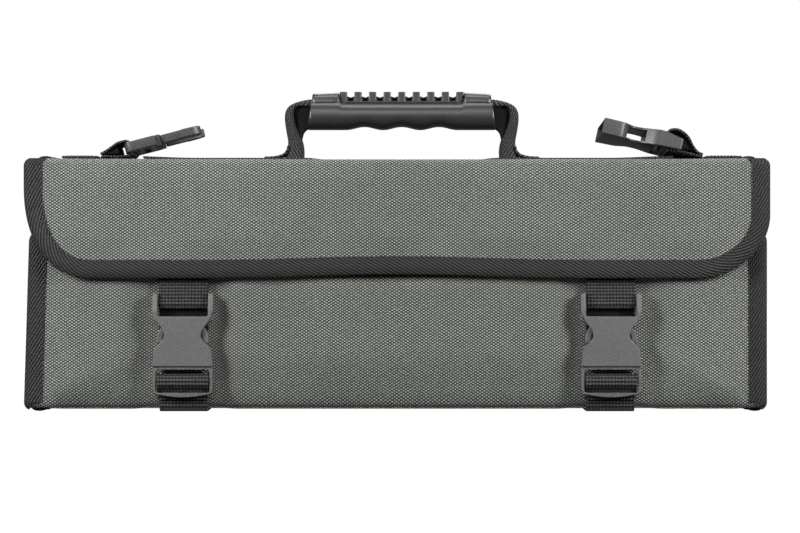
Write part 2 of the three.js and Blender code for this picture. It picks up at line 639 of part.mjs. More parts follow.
// The plug's frame, with its ladder bar, tongue and centre prong.
function bucklePlug() {
  const half = BUCKLE_HALF - 0.1;
  const top = -RUNNING_GAP;
  const low = top - PLUG_FRAME_LENGTH;
  const foot = low + PLUG_BOW;
  const radius = PLUG_CORNER;
  const frame = new THREE.Shape();
  frame.moveTo(half, top);
  frame.lineTo(-half, top);
  frame.lineTo(-half, foot + radius);
  frame.quadraticCurveTo(-half, foot, radius - half, foot);
  frame.quadraticCurveTo(0, low - PLUG_BOW, half - radius, foot);
  frame.quadraticCurveTo(half, foot, half, foot + radius);
  const inner = half - PLUG_RAIL;
  const window = roundedRect(-inner, inner, foot + PLUG_END_BAR, top - PLUG_SHOULDER, 2);
  const ladderZ = top - LADDER_BAR_DROP;
  const barHalf = LADDER_BAR_HEIGHT / 2;
  const tongueY = HOUSING_WALL + RUNNING_GAP;
  const tongueHalf = CAVITY_HALF - RUNNING_GAP;
  const prong = roundedRect(-PRONG_HALF, PRONG_HALF, TONGUE_RISE - 1, PRONG_LENGTH, 1.2);
  const frameY = PLUG_FRAME_DEPTH / 2;
  const frameRim = easedPlate(frame, BUCKLE_MID_Y - frameY, BUCKLE_MID_Y + frameY, EDGE_ROUND);
  const ladderBar = box(
    1 - half, half - 1,
    BUCKLE_MID_Y - 1.6, BUCKLE_MID_Y + 1.2,
    ladderZ - barHalf, ladderZ + barHalf,
  );
  const tongue = box(
    -tongueHalf, tongueHalf,
    tongueY - BUCKLE_DEPTH, -tongueY,
    top - PLUG_SHOULDER, TONGUE_RISE,
  );
  return frameRim
    .subtract(extrudeAlongY(window, -BUCKLE_DEPTH - 1, 1))
    .add(ladderBar)
    .add(tongue)
    .add(extrudeAlongY(prong, BUCKLE_MID_Y - 1.6, BUCKLE_MID_Y + 1.6));
}

// A springy arm, drawn for the +X side: a straight root inside the collar, then a barb
// whose shoulder stands behind the collar's rim and bulges into the waist.
function buckleArm(side) {
  const reach = CAVITY_HALF - RUNNING_GAP - 0.1;
  const catchZ = COLLAR_LENGTH + 2.2;
  const shape = new THREE.Shape();
  shape.moveTo(ARM_ROOT_X - ARM_ROOT_RADIUS, ARM_ROOT_Z);
  shape.absarc(ARM_ROOT_X, ARM_ROOT_Z, ARM_ROOT_RADIUS, Math.PI, 2 * Math.PI);
  shape.lineTo(reach, catchZ);
  shape.lineTo(ARM_BULGE, catchZ - 1);
  shape.bezierCurveTo(
    ARM_BULGE + 0.3, catchZ + 4,
    ARM_BULGE - 1, catchZ + 8.5,
    ARM_BULGE - 3.6, ARM_TIP - 0.8,
  );
  shape.quadraticCurveTo(ARM_BULGE - 5, ARM_TIP + 0.3, ARM_BULGE - 6.4, ARM_TIP - 0.8);
  shape.bezierCurveTo(ARM_BULGE - 4, catchZ + 7, ARM_BULGE - 3.6, catchZ + 3, ARM_BULGE - 4.2, catchZ);
  const points = shape.getPoints(5);
  const mirrored = points.map((p) => new THREE.Vector2(-p.x, p.y)).reverse();
  const outline = new THREE.Shape(side > 0 ? points : mirrored);
  return extrudeAlongY(outline, BUCKLE_MID_Y - ARM_DEPTH / 2, BUCKLE_MID_Y + ARM_DEPTH / 2);
}

// A webbing loop's side profile: a stem from one point that opens round a bar at another.
// Both points and the directions between them lie in one plane.
function loopProfile(from, bar, barRadius, stemThick) {
  const along = new THREE.Vector2(bar[0] - from[0], bar[1] - from[1]);
  const length = along.length();
  along.normalize();
  const at = (s, n) => new THREE.Vector2(
    from[0] + along.x * s - along.y * n,
    from[1] + along.y * s + along.x * n,
  );
  const inner = barRadius + LAYER_GAP;
  const outer = inner + WEBBING_THICK;
  const ring = (radius, neck, neckHalf) => {
    const points = [at(neck, -neckHalf)];
    for (let i = 0; i <= 8; i += 1) {
      const angle = -Math.PI / 2 + (Math.PI * i) / 8;
      points.push(at(length + radius * Math.cos(angle), radius * Math.sin(angle)));
    }
    points.push(at(neck, neckHalf));
    return points;
  };
  const stem = stemThick / 2;
  const root = [];
  for (let i = 1; i < 6; i += 1) {
    const angle = Math.PI / 2 + (Math.PI * i) / 6;
    root.push(at(stem * Math.cos(angle), stem * Math.sin(angle)));
  }
  const split = Math.max(0.16 * length, 1.6);
  const outline = [at(0, -stem), ...ring(outer, split, stem + 0.02), at(0, stem), ...root];
  const shape = new THREE.Shape(outline);
  shape.holes.push(new THREE.Path(ring(inner, split + 2.5, 0.15)));
  return shape;
}

// The lower webbing's end: up behind the frame, over the ladder bar and down in front of it.
function ladderStrapProfile(y, z) {
  const halfBar = 1.5;
  const inner = halfBar + LAYER_GAP;
  const outer = inner + WEBBING_THICK;
  const rise = LADDER_BAR_HEIGHT / 2;
  const turnZ = z + rise - LAYER_GAP;
  const low = BUCKLE_MOUTH_Z - RUNNING_GAP - PLUG_FRAME_LENGTH + 2 + LAYER_GAP;
  const shape = new THREE.Shape();
  shape.moveTo(STRAP_OUTER_Y, low);
  shape.lineTo(STRAP_OUTER_Y + WEBBING_THICK, low);
  shape.lineTo(STRAP_OUTER_Y + WEBBING_THICK, low + 1.5);
  shape.lineTo(y + outer, z - rise + 0.5);
  shape.absarc(y, turnZ, outer, 0, Math.PI);
  shape.lineTo(y - outer, z - rise - 1.6);
  shape.lineTo(y - inner, z - rise - 1.6);
  shape.absarc(y, turnZ, inner, Math.PI, 0, true);
  shape.lineTo(y + inner, z - rise);
  shape.lineTo(STRAP_OUTER_Y, low + 2.2);
  return shape;
}

// The hanging strap's end, which lies flat behind the slot between the ears.
function strapTail(x) {
  const loopReach = BAR_RADIUS + LAYER_GAP + WEBBING_THICK;
  const top = BUCKLE_MOUTH_Z + STRAP_BAR_RISE - loopReach - LAYER_GAP;
  return box(
    x - WEBBING_WIDTH / 2, x + WEBBING_WIDTH / 2,
    STRAP_OUTER_Y, STRAP_OUTER_Y + WEBBING_THICK,
    top - STRAP_TAIL, top,
  );
}

// One front buckle, latched, hanging on its strap from the flap's lower edge.
function makeFrontBuckle(side, x) {
  const pivotY = FRONT_FACE_Y - TAPE_REACH - LAYER_GAP - WEBBING_THICK / 2;
  const pivotZ = FLAP_EDGE_Z - LAYER_GAP - WEBBING_THICK / 2;
  const bar = [BUCKLE_BACK_Y - BAR_RADIUS, BUCKLE_MOUTH_Z + STRAP_BAR_RISE];
  const half = WEBBING_WIDTH / 2;
  const hanging = loopProfile([pivotY, pivotZ], bar, BAR_RADIUS, WEBBING_THICK);
  const ladderZ = BUCKLE_MOUTH_Z - RUNNING_GAP - LADDER_BAR_DROP;
  const ladder = ladderStrapProfile(BUCKLE_BACK_Y + BUCKLE_MID_Y - 0.2, ladderZ);
  const group = new THREE.Group();
  group.position.set(x, BUCKLE_BACK_Y, BUCKLE_MOUTH_Z);
  group.add(
    piece(`${side}_housing`, buckleHousing(), acetal),
    piece(`${side}_plug`, bucklePlug(), acetal),
    piece(`${side}_arm_left`, buckleArm(-1), acetal),
    piece(`${side}_arm_right`, buckleArm(1), acetal),
  );
  const straps = new THREE.Group();
  straps.add(
    piece(`${side}_hanging_strap`, extrudeAlongX(hanging, x - half, x + half), webbing),
    piece(`${side}_strap_tail`, strapTail(x), webbing),
    piece(`${side}_ladder_strap`, extrudeAlongX(ladder, x - half, x + half), webbing),
  );
  return [group, straps];
}

// A ring of a rounded box section: half sizes a and b along two directions from a centre.
// A higher power gives squarer corners.
function sectionRing(centre, u, a, v, b, count, power) {
  const ring = [];
  for (let i = 0; i < count; i += 1) {
    const angle = (2 * Math.PI * i) / count;
    const cu = Math.sign(Math.cos(angle)) * Math.abs(Math.cos(angle)) ** (2 / power);
    const cv = Math.sign(Math.sin(angle)) * Math.abs(Math.sin(angle)) ** (2 / power);
    ring.push(centre.clone().addScaledVector(u, a * cu).addScaledVector(v, b * cv));
  }
  return ring;
}

// The grip: a rounded bar with slanted ends, raised end collars and finger grooves below,
// bored for the webbing and pocketed on top for its ribbed insert.
function gripShell() {
  const count = 20;
  const midZ = (GRIP_TOP_Z + GRIP_BOTTOM_Z) / 2;
  const height = GRIP_TOP_Z - GRIP_BOTTOM_Z;
  const squareness = 2.4;
  const groove = (x) => {
    const phase = x / FINGER_PITCH;
    const inside = Math.abs(phase) < FINGER_GROOVES / 2;
    return inside ? (FINGER_SHARE * GRIP_HEIGHT * (1 + Math.cos(2 * Math.PI * phase))) / 2 : 0;
  };
  const ringAt = (x, raised) => {
    const share = Math.abs(x) / GRIP_TOP_HALF_LENGTH;
    const top = raised ? GRIP_TOP_Z + GRIP_COLLAR_RISE - GRIP_COLLAR_FALL * share : GRIP_TOP_Z;
    const low = GRIP_BOTTOM_Z + groove(x);
    const depth = (GRIP_DEPTH / 2) * (1 - 0.06 * share * share);
    const ring = [];
    for (let i = 0; i < count; i += 1) {
      const angle = (2 * Math.PI * i) / count;
      const cy = Math.sign(Math.cos(angle)) * Math.abs(Math.cos(angle)) ** (2 / squareness);
      const cz = Math.sign(Math.sin(angle)) * Math.abs(Math.sin(angle)) ** (2 / squareness);
      const z = cz > 0 ? midZ + cz * (top - midZ) : midZ + cz * (midZ - low);
      const spread = GRIP_BOTTOM_HALF_LENGTH / GRIP_TOP_HALF_LENGTH - 1;
      const slant = 1 + (spread * (GRIP_TOP_Z - z)) / height;
      ring.push(new THREE.Vector3(x * slant, depth * cy, z));
    }
    return ring;
  };
  const rings = [];
  const collarLength = GRIP_TOP_HALF_LENGTH - GRIP_COLLAR_X;
  const collar = [0, 0.28, 0.65, 1].map((share) => share * collarLength - GRIP_TOP_HALF_LENGTH);
  collar.forEach((x) => rings.push(ringAt(x, true)));
  const steps = 30;
  const reach = GRIP_COLLAR_X - 0.6;
  for (let i = 0; i <= steps; i += 1) {
    rings.push(ringAt(-reach + (2 * reach * i) / steps, false));
  }
  collar.reverse().forEach((x) => rings.push(ringAt(-x, true)));
  const boreY = CORE_HALF_DEPTH + LAYER_GAP;
  const boreZ = CORE_HALF_HEIGHT + LAYER_GAP;
  const tunnel = roundedRect(-boreY, boreY, CORE_Z - boreZ, CORE_Z + boreZ, 1.5);
  const socket = roundedRect(
    -SOCKET_HALF_DEPTH, SOCKET_HALF_DEPTH,
    SOCKET_Z - SOCKET_HALF_HEIGHT, SOCKET_Z + SOCKET_HALF_HEIGHT,
    3,
  );
  const long = GRIP_BOTTOM_HALF_LENGTH + OVERCUT;
  const pocketX = INSERT_HALF_LENGTH + LAYER_GAP;
  const pocketY = INSERT_HALF_DEPTH + LAYER_GAP;
  const pocket = roundedRect(-pocketX, pocketX, -pocketY, pocketY, 2.5);
  return loft(rings)
    .subtract(extrudeAlongX(tunnel, -long, long, 2))
    .subtract(extrudeAlongX(socket, SOCKET_X, long, 3))
    .subtract(extrudeAlongX(socket, -long, -SOCKET_X, 3))
    .subtract(extrudeUp(pocket, INSERT_FLOOR_Z - LAYER_GAP, INSERT_BLOCK_Z + OVERCUT, 3));
}

// The soft insert: a base strip, a row of blocks and a zigzag web between them.
function gripInsert() {
  const half = INSERT_HALF_LENGTH;
  const deep = INSERT_HALF_DEPTH;
  const blockHalf = INSERT_BLOCK_LENGTH / 2;
  const outline = roundedRect(-half, half, -deep, deep, 2.2);
  let insert = extrudeUp(outline, INSERT_FLOOR_Z, GRIP_TOP_Z, 3);
  const web = (x0, x1, up) => extrudeUp(polygon([
    [x0 - 0.5, -up * (deep - 1)],
    [x0 + 0.5, -up * (deep - 1)],
    [x1 + 0.5, up * (deep - 1)],
    [x1 - 0.5, up * (deep - 1)],
  ]), GRIP_TOP_Z - 0.5, GRIP_TOP_Z + INSERT_WEB_RISE);
  for (let i = 0; i < INSERT_BLOCKS; i += 1) {
    const x = (i - (INSERT_BLOCKS - 1) / 2) * INSERT_PITCH;
    const block = roundedRect(x - blockHalf, x + blockHalf, -deep + 0.3, deep - 0.3, 0.8);
    insert = insert.add(extrudeUp(block, GRIP_TOP_Z - 1, INSERT_BLOCK_Z, 2));
    if (i < INSERT_BLOCKS - 1) {
      const gapMid = x + INSERT_PITCH / 2;
      insert = insert.add(web(x + blockHalf, gapMid, 1)).add(web(gapMid, x + INSERT_PITCH - blockHalf, -1));
    }
  }
  return insert.intersect(extrudeUp(outline, INSERT_FLOOR_Z, INSERT_BLOCK_Z, 3));
}

// The handle's webbing, folded round: up from one foot, bent over into the grip's end,
// flat through its bore, and down to the other foot.
function handleStrap() {
  const y = new THREE.Vector3(0, 1, 0);
  const power = 2.6;
  const count = 12;
  const rings = [];
  const down = new THREE.Vector3(1, 0, 0);
  [-80, -60, -40, -20].forEach((degrees) => {
    const drop = Math.sin(THREE.MathUtils.degToRad(degrees)) * LEG_HALF_Y;
    const wide = Math.cos(THREE.MathUtils.degToRad(degrees)) * LEG_HALF_Y;
    const narrow = LEG_HALF_X * (0.72 + 0.28 * (wide / LEG_HALF_Y));
    rings.push(sectionRing(new THREE.Vector3(-LEG_X, 0, drop), down, -narrow, y, wide, count, power));
  });
  const bend = SOCKET_Z - HANDLE_PIVOT_Z;
  const core = CORE_Z - HANDLE_PIVOT_Z;
  const points = [
    [-LEG_X, 0],
    [-LEG_X - 0.6, bend * 0.37],
    [-LEG_X - 1.7, bend * 0.68],
    [-LEG_X - 0.2, bend - 1.6],
    [-LEG_X + 5, bend + 0.6],
    [-SOCKET_X - 9, bend + 0.4],
    [-SOCKET_X - 5, bend - 1.3],
    [-SOCKET_X - 1, core],
    [-SOCKET_X + 5, core],
    [-SOCKET_X + 11, core],
  ].map(([x, z]) => new THREE.Vector3(x, 0, z));
  const curve = new THREE.CatmullRomCurve3(points, false, 'centripetal');
  const steps = 22;
  for (let i = 0; i <= steps; i += 1) {
    const t = i / steps;
    const centre = curve.getPoint(t);
    const tangent = curve.getTangent(t);
    const normal = new THREE.Vector3(tangent.z, 0, -tangent.x);
    const squeeze = THREE.MathUtils.smoothstep(centre.x, -SOCKET_X - 8, -SOCKET_X - 1);
    const a = THREE.MathUtils.lerp(LEG_HALF_X, CORE_HALF_HEIGHT, squeeze);
    const b = THREE.MathUtils.lerp(LEG_HALF_Y, CORE_HALF_DEPTH, squeeze);
    rings.push(sectionRing(centre, normal, -a, y, b, count, power));
  }
  const other = rings.map((ring) => ring.map((p) => new THREE.Vector3(-p.x, p.y, p.z))).reverse();
  return loft([...rings, ...other]).translate(0, 0, HANDLE_PIVOT_Z);
}

function makeHandle() {
  const group = new THREE.Group();
  group.position.set(HANDLE_CENTRE_X, TOP_CENTRE_Y, 0);
  group.add(
    piece('handle_strap', handleStrap(), webbing),
    piece('grip_shell', gripShell(), rubber),
    piece('grip_insert', gripInsert(), rubber),
  );
  return group;
}

// A buckle part turned and scaled for a shoulder-strap tab: Z of the part runs along the tab
// and its front faces up. run is how far the part's barZ lies from the tab's root.
function tabPart(name, solid, side, run, barZ, barY, material) {
  const geometry = toGeometry(solid);
  const k = TAB_SCALE;
  const matrix = new THREE.Matrix4().set(
    0, 0, side * k, side * (run - barZ * k),
    -side * k, 0, 0, 0,
    0, -k, 0, barY * k,
    0, 0, 0, 1,
  );
  geometry.applyMatrix4(matrix);
  return piece(name, toSolid(geometry), material);
}

// The tab's webbing loop, flat at its root and rolled with the buckle at its bar.
function tabLoop(side, run, barRadius, roll) {
  const profile = loopProfile([0, 0], [side * run, 0], barRadius, TAB_STEM);
  const geometry = toGeometry(extrudeAlongY(profile, -TAB_WEBBING_WIDTH / 2, TAB_WEBBING_WIDTH / 2));
  const position = geometry.attributes.position;
  for (let i = 0; i < position.count; i += 1) {
    const share = THREE.MathUtils.smoothstep(side * position.getX(i), 0, run * 0.7);
    const angle = -THREE.MathUtils.degToRad(roll) * (1 - share);
    const y = position.getY(i);
    const z = position.getZ(i);
    position.setY(i, y * Math.cos(angle) + z * Math.sin(angle));
    position.setZ(i, z * Math.cos(angle) - y * Math.sin(angle));
  }
  return toSolid(geometry);
}

// A tab's frame: inset from the case's end, pitched up away from its root and rolled to
// the front. side is 1 for the left tab, which points to +X.
function tabFrame(side, inset, pitch, roll) {
  const pitched = new THREE.Group();
  pitched.position.set(side * (inset - CASE_HALF_WIDTH), TOP_CENTRE_Y, TOP_WEBBING_Z + TAB_STEM / 2);
  pitched.rotation.y = -side * THREE.MathUtils.degToRad(pitch);
  const rolled = new THREE.Group();
  rolled.rotation.x = -THREE.MathUtils.degToRad(roll);
  pitched.add(rolled);
  return [pitched, rolled];
}

function makeLeftTab() {
  const run = LEFT_TAB_BAR_RUN;
  const [pitched, rolled] = tabFrame(1, LEFT_TAB_INSET, LEFT_TAB_PITCH, LEFT_TAB_ROLL);
  const place = (name, solid) => tabPart(name, solid, 1, run, END_BAR_Z, BUCKLE_MID_Y, acetal);
  const loop = tabLoop(1, run, END_BAR_RADIUS * TAB_SCALE, LEFT_TAB_ROLL);
  rolled.add(
    piece('left_tab_loop', loop, webbing),
    place('left_tab_plug', bucklePlug()),
    place('left_tab_arm_front', buckleArm(1)),
    place('left_tab_arm_back', buckleArm(-1)),
  );
  return pitched;
}

// The socket's tab: its housing is turned end for end, so that the mouth points outward.
function makeRightTab() {
  const run = RIGHT_TAB_BAR_RUN;
  const [pitched, rolled] = tabFrame(-1, RIGHT_TAB_INSET, RIGHT_TAB_PITCH, RIGHT_TAB_ROLL);
  const housing = buckleHousing().rotate([0, 180, 0]);
  const loop = tabLoop(-1, run, BAR_RADIUS * TAB_SCALE, RIGHT_TAB_ROLL);
  rolled.add(
    piece('right_tab_loop', loop, webbing),
    tabPart('right_tab_housing', housing, -1, run, -STRAP_BAR_RISE, -BAR_RADIUS, acetal),
  );
  return pitched;
}

const knifeCase = new THREE.Group();
knifeCase.add(...makeCase(), ...makeFlap(), ...makeFront());
knifeCase.add(...makeFrontBuckle('left', -BUCKLE_X), ...makeFrontBuckle('right', BUCKLE_X));
knifeCase.add(makeHandle(), makeLeftTab(), makeRightTab());

export default knifeCase;
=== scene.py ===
"""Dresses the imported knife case: woven covers, edge tape, webbing, buckles and handle."""

import math

import bmesh
import bpy
import numpy as np
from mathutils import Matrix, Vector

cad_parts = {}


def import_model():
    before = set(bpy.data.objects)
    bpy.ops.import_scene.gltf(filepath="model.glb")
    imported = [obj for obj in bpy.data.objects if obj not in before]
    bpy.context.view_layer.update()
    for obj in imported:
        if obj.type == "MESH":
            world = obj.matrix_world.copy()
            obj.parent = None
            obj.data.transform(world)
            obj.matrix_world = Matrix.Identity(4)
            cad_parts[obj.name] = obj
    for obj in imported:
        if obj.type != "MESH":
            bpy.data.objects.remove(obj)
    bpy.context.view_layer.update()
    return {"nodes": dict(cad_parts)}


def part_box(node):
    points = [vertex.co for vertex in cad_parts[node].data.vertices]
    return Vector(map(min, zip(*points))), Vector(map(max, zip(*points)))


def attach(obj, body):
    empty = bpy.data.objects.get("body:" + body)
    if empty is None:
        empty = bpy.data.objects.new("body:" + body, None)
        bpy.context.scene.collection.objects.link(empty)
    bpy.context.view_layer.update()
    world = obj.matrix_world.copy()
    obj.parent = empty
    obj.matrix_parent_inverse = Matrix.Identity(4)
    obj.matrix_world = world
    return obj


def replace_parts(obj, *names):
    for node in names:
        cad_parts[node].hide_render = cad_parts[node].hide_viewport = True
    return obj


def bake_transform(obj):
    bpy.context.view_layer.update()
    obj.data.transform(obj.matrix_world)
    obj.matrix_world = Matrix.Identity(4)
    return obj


bl_info = {
    "name": "Knife case dressing",
    "version": (1, 0, 0),
    "blender": (4, 5, 0),
    "location": "3D View > Sidebar > Knife Case",
    "description": "Builds the cloth, tape, webbing and finishes of a fold-over knife case",
    "category": "Object",
}

# Lengths in this file are millimetres unless they go to Blender: X runs across the case, Y from
# its front to its back and Z up.
MM = 0.001
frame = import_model()


def node_box(node):
    """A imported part's lowest and highest corner in millimetres."""
    low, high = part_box(node)
    return np.array(low) / MM, np.array(high) / MM


# Panels: the boxes of their covers, and the thickness of their layers
FLAP_LOW, FLAP_HIGH = node_box("flap_cover")
FRONT_LOW, FRONT_HIGH = node_box("front_cover")
FRONT_RISE = 8.0  # how far the cloth reaches over the board, hidden behind the flap
FRONT_HIGH[2] += FRONT_RISE
CASE_LOW, CASE_HIGH = node_box("case_cover")
PANEL = FLAP_HIGH[1] - FLAP_LOW[1]
COVER = 1.2
LINING = 0.8
SEAM_GAP = 0.3

# Outlines: corners, folds and the flap's soft lower edge
FLAP_CORNERS = {-1: (41.0, 57.0, 2.25), 1: (43.7, 38.7, 1.95)}  # width, height, power by side
FLAP_WAVE = 2.4
FLAP_FOLD = 3.6
FRONT_CORNER = 6.0
FRONT_FOLD = 4.5
FRONT_LEAN = (-1.2, 3.2)  # the left side's shift at the top, and its growth towards the foot
FOOT_CORNER = 4.0
BACK_CORNER = 7.0
CASE_FOOT_Y = -11.0
SHOULDER = 5.0  # how far the top corners are drawn in
TOP_SAG = 1.2  # of the top between the two tabs
HANDLE_SAG = 1.3  # more, between the handle's feet
RIM_SAG = 0.8  # of the flap's front rim
HEM_HEIGHT = 13.0  # the lowest part of the front, which drops and rolls in
HEM_DROP = 1.2
HEM_ROLL = 4.6
POCKET_PITCH = 40.0  # from one sewn row of the pockets to the next

# Spans over which a panel's swell grows from none to all of it: distances in from its edges,
# distances past the buckle's middle, or heights
FLAP_SIDE_FADE, FLAP_FOOT_FADE, FLAP_TOP_FADE, FLAP_WAVE_FADE = (8, 30), (8, 26), (0, 16), (5, 70)
FRONT_SIDE_FADE = (8, 34)
FRONT_FOOT_FADE = (12, 24)  # beside the edge, and how much longer near the buckles
NEAR_BUCKLE = (20, 90)
VALLEY_INNER, VALLEY_OUTER = (-35, -20), (19, 44)
OUTER_CROWN = 0.95  # share of the front's crown outside the buckles
UNDER_FLAP = (79, 86)
UNDER_FLAP_ROOM = 2.6
BACK_SIDE_FADE, BACK_RISE_FADE = (8, 50), (4, 50)
STRAP_HOLD, STRAP_HOLD_TOP = (16, 34), (45, 75)  # beside and above the straps on the back
SHOULDER_REACH = (34, 10)  # in from the side

# Edge tape and stitches
TAPE_BAND = 11.5
TAPE_REACH = FLAP_LOW[2] - node_box("flap_binding")[0][2]
STITCH_INSET = TAPE_BAND - TAPE_REACH - 0.1
STITCH_LIFT = 0.6
STITCH_GIRTH = 0.42
STITCH_RINGS, STITCH_SIDES = 6, 6

# Webbing, buckles and handle
SIDES = {"left": -1, "right": 1}
BUCKLE_X = 134.0
BUCKLE_BACK_Y = -17.6
BUCKLE_MOUTH_Z = 28.75
WEBBING = 30.6
WEBBING_THICK = 1.5
STRAP_DRAWN = 1.3  # thickness of a strap as drawn, a little under its solid's
TOP_CENTRE_Y = 2.5
GRIP_HEIGHT = 18.0
GRIP_HALF_DEPTH = 12.0
GRIP_SIDES = 64  # points round its section
GRIP_POWER = 2.35  # of its superelliptic section
GROOVE_DEPTH = 1.94  # of the finger grooves
GROOVE_PITCH = 22.6
COLLAR_RISE = 1.6
HANDLE_PIVOT = 6.4
TAB_WEBBING = 34.4
TAB_PLACE = {"left": (14.5, 1.0, -187.0), "right": (12.2, 5.0, 193.0)}  # pitch, roll, root's X

# Side vectors for profiles that are carried along a path
ALONG_X, ALONG_Y, ALONG_Z = (1, 0, 0), (0, 1, 0), (0, 0, 1)

# Angles in degrees above which an edge between two faces stays sharp
CLOTH_SHARP = 35.0
ROUND_SHARP = 50.0
FOLD_SHARP = 60.0
MOULDED_SHARP = 31.0
FLAT_ANGLE = 0.2  # below this the faces of a moulded part are joined
MERGE_DISTANCE = 2e-6  # metres within which its points are merged


# Sizes and colours a user would change


def length_field(label, text, default):
    return bpy.props.FloatProperty(name=label, description=text, default=default, unit="LENGTH")


def colour_field(label, text, default):
    return bpy.props.FloatVectorProperty(
        name=label, description=text, default=default, subtype="COLOR", size=3
    )


class KnifeCaseSizes(bpy.types.PropertyGroup):
    flap_crown: length_field(
        "Flap crown", "How far the flap's cloth swells between its taped edges", 0.0012
    )
    front_crown: length_field(
        "Front crown", "How far the front panel's cloth swells in its middle", 0.0046
    )
    back_crown: length_field("Back crown", "How far the back's cloth swells in its middle", 0.0022)
    wave_height: length_field("Wave height", "Height of the cloth's soft upright waves", 0.0007)
    weave_across: length_field(
        "Weave pitch across", "Distance between two raised yarns in a row of the cover", 0.00283
    )
    weave_up: length_field(
        "Weave pitch up", "Distance between two rows of yarns in the cover", 0.00092
    )
    stitch_length: length_field("Stitch length", "Length of one stitch along the edge tape", 0.0014)
    stitch_pitch: length_field("Stitch pitch", "Distance from one stitch to the next", 0.0021)


class KnifeCaseFinish(bpy.types.PropertyGroup):
    cover_yarn: colour_field(
        "Cover yarn", "Colour of the raised yarns of the cover", (0.385, 0.405, 0.366)
    )
    cover_ground: colour_field(
        "Cover ground", "Colour between the raised yarns of the cover", (0.038, 0.041, 0.036)
    )
    tape_colour: colour_field("Edge tape", "Colour of the edge tape", (0.0125, 0.0125, 0.0133))
    webbing_colour: colour_field("Webbing", "Colour of the straps", (0.022, 0.022, 0.024))
    # Also the colour of the pieces of painted shade in the handle's bends, the tabs' loops, behind
    # the buckles and along the grip's groove
    lining_and_shade_colour: colour_field("Lining", "Colour of the inside cloth", (0.008, 0.008, 0.009))
    buckle_colour: colour_field("Buckles", "Colour of the moulded buckles", (0.100, 0.100, 0.103))
    grip_colour: colour_field(
        "Grip", "Colour of the moulded handle grip", (0.013, 0.013, 0.0135)
    )
    floor_colour: colour_field("Floor", "Colour of the floor", (0.10, 0.10, 0.10))


def sizes():
    return bpy.context.scene.knife_case_sizes


def finish():
    return bpy.context.scene.knife_case_finish


# Meshes


def make_piece(name, points, quads, triangles=None, uv=None, sharp=CLOTH_SHARP):
    """One mesh object from point, quad and triangle arrays in millimetres, its faces turned
    outwards by the sign of the volume that its surface encloses. uv gives each corner of each
    quad its place on the cloth; triangles only close round ends and lie at its origin."""
    triangles = np.zeros((0, 3), int) if triangles is None else triangles
    halves = np.concatenate([quads[:, [0, 1, 2]], quads[:, [0, 2, 3]], triangles])
    a, b, c = (points[halves[:, k]] for k in range(3))
    if np.einsum("ij,ij->", a, np.cross(b, c)) < 0:
        quads, triangles = quads[:, ::-1], triangles[:, ::-1]
        uv = None if uv is None else uv[:, ::-1]
    loops = np.concatenate([quads.ravel(), triangles.ravel()]).astype(np.int32)
    quad_starts = np.arange(len(quads)) * 4
    triangle_starts = len(quads) * 4 + np.arange(len(triangles)) * 3
    starts = np.concatenate([quad_starts, triangle_starts]).astype(np.int32)
    mesh = bpy.data.meshes.new(name)
    mesh.vertices.add(len(points))
    mesh.vertices.foreach_set("co", (points * MM).astype(np.float32).ravel())
    mesh.loops.add(len(loops))
    mesh.loops.foreach_set("vertex_index", loops)
    mesh.polygons.add(len(starts))
    mesh.polygons.foreach_set("loop_start", starts)
    if uv is not None:
        places = np.concatenate([uv.reshape(-1, 2), np.zeros((3 * len(triangles), 2))]) * MM
        layer = mesh.uv_layers.new(name="Cloth")
        layer.data.foreach_set("uv", places.astype(np.float32).ravel())
    mesh.update(calc_edges=True)
    mesh.shade_smooth()
    mesh.set_sharp_from_angle(angle=math.radians(sharp))
    piece = bpy.data.objects.new(name, mesh)
    bpy.context.scene.collection.objects.link(piece)
    return piece


def reshape(piece, change):
    """Moves a piece's points by a function of their places in millimetres."""
    mesh = piece.data
    points = np.empty(len(mesh.vertices) * 3, np.float32)
    mesh.vertices.foreach_get("co", points)
    moved = change(points.reshape(-1, 3).astype(float) / MM) * MM
    mesh.vertices.foreach_set("co", moved.astype(np.float32).ravel())
    mesh.update()


def arc_lengths(points, axis):
    """Running length along one axis of a grid of points."""
    steps = np.linalg.norm(np.diff(points, axis=axis), axis=-1)
    pad = [(0, 0)] * steps.ndim
    pad[axis] = (1, 0)
    return np.cumsum(np.pad(steps, pad), axis=axis)


def tube_corners(rings, sides):
    """Ring and point numbers of the four corners of each quad between stacked rings. The point
    that closes a ring is numbered after its last one."""
    i, j = np.meshgrid(np.arange(rings - 1), np.arange(sides), indexing="ij")
    ring = np.stack([i, i + 1, i + 1, i], -1).reshape(-1, 4)
    point = np.stack([j, j, j + 1, j + 1], -1).reshape(-1, 4)
    return ring, point


def ring_tube(name, rings, uv=None, flat_ends=True, sharp=CLOTH_SHARP):
    """A closed body from a stack of closed rings: point (i, j) is ring i's point j, and each
    ring meets the next. An end is closed by a ladder across its ring, or by a fan."""
    n, m = rings.shape[:2]
    if uv is None:
        closed = np.concatenate([rings, rings[:, :1]], axis=1)
        along = np.repeat(arc_lengths(rings, 0)[:, :1], m + 1, axis=1)
        uv = np.stack([arc_lengths(closed, 1), along], -1)
    ring, point = tube_corners(n, m)
    quads = ring * m + point % m
    quad_uv = uv[ring, point]
    points = rings.reshape(-1, 3)
    last = (n - 1) * m
    if flat_ends:
        q = np.arange(m // 2 - 1)
        ladder = np.stack([q, q + 1, m - 2 - q, m - 1 - q], -1)
        quads = np.concatenate([quads, ladder, ladder[:, ::-1] + last])
        quad_uv = np.concatenate([quad_uv, uv[0][ladder], uv[-1][ladder[:, ::-1]]])
        return make_piece(name, points, quads, uv=quad_uv, sharp=sharp)
    q = np.arange(m)
    first_fan = np.stack([q, (q + 1) % m, np.full(m, n * m)], -1)
    last_fan = np.stack([(q + 1) % m + last, q + last, np.full(m, n * m + 1)], -1)
    points = np.concatenate([points, rings[0].mean(0)[None], rings[-1].mean(0)[None]])
    fans = np.concatenate([first_fan, last_fan])
    return make_piece(name, points, quads, fans, quad_uv, sharp)


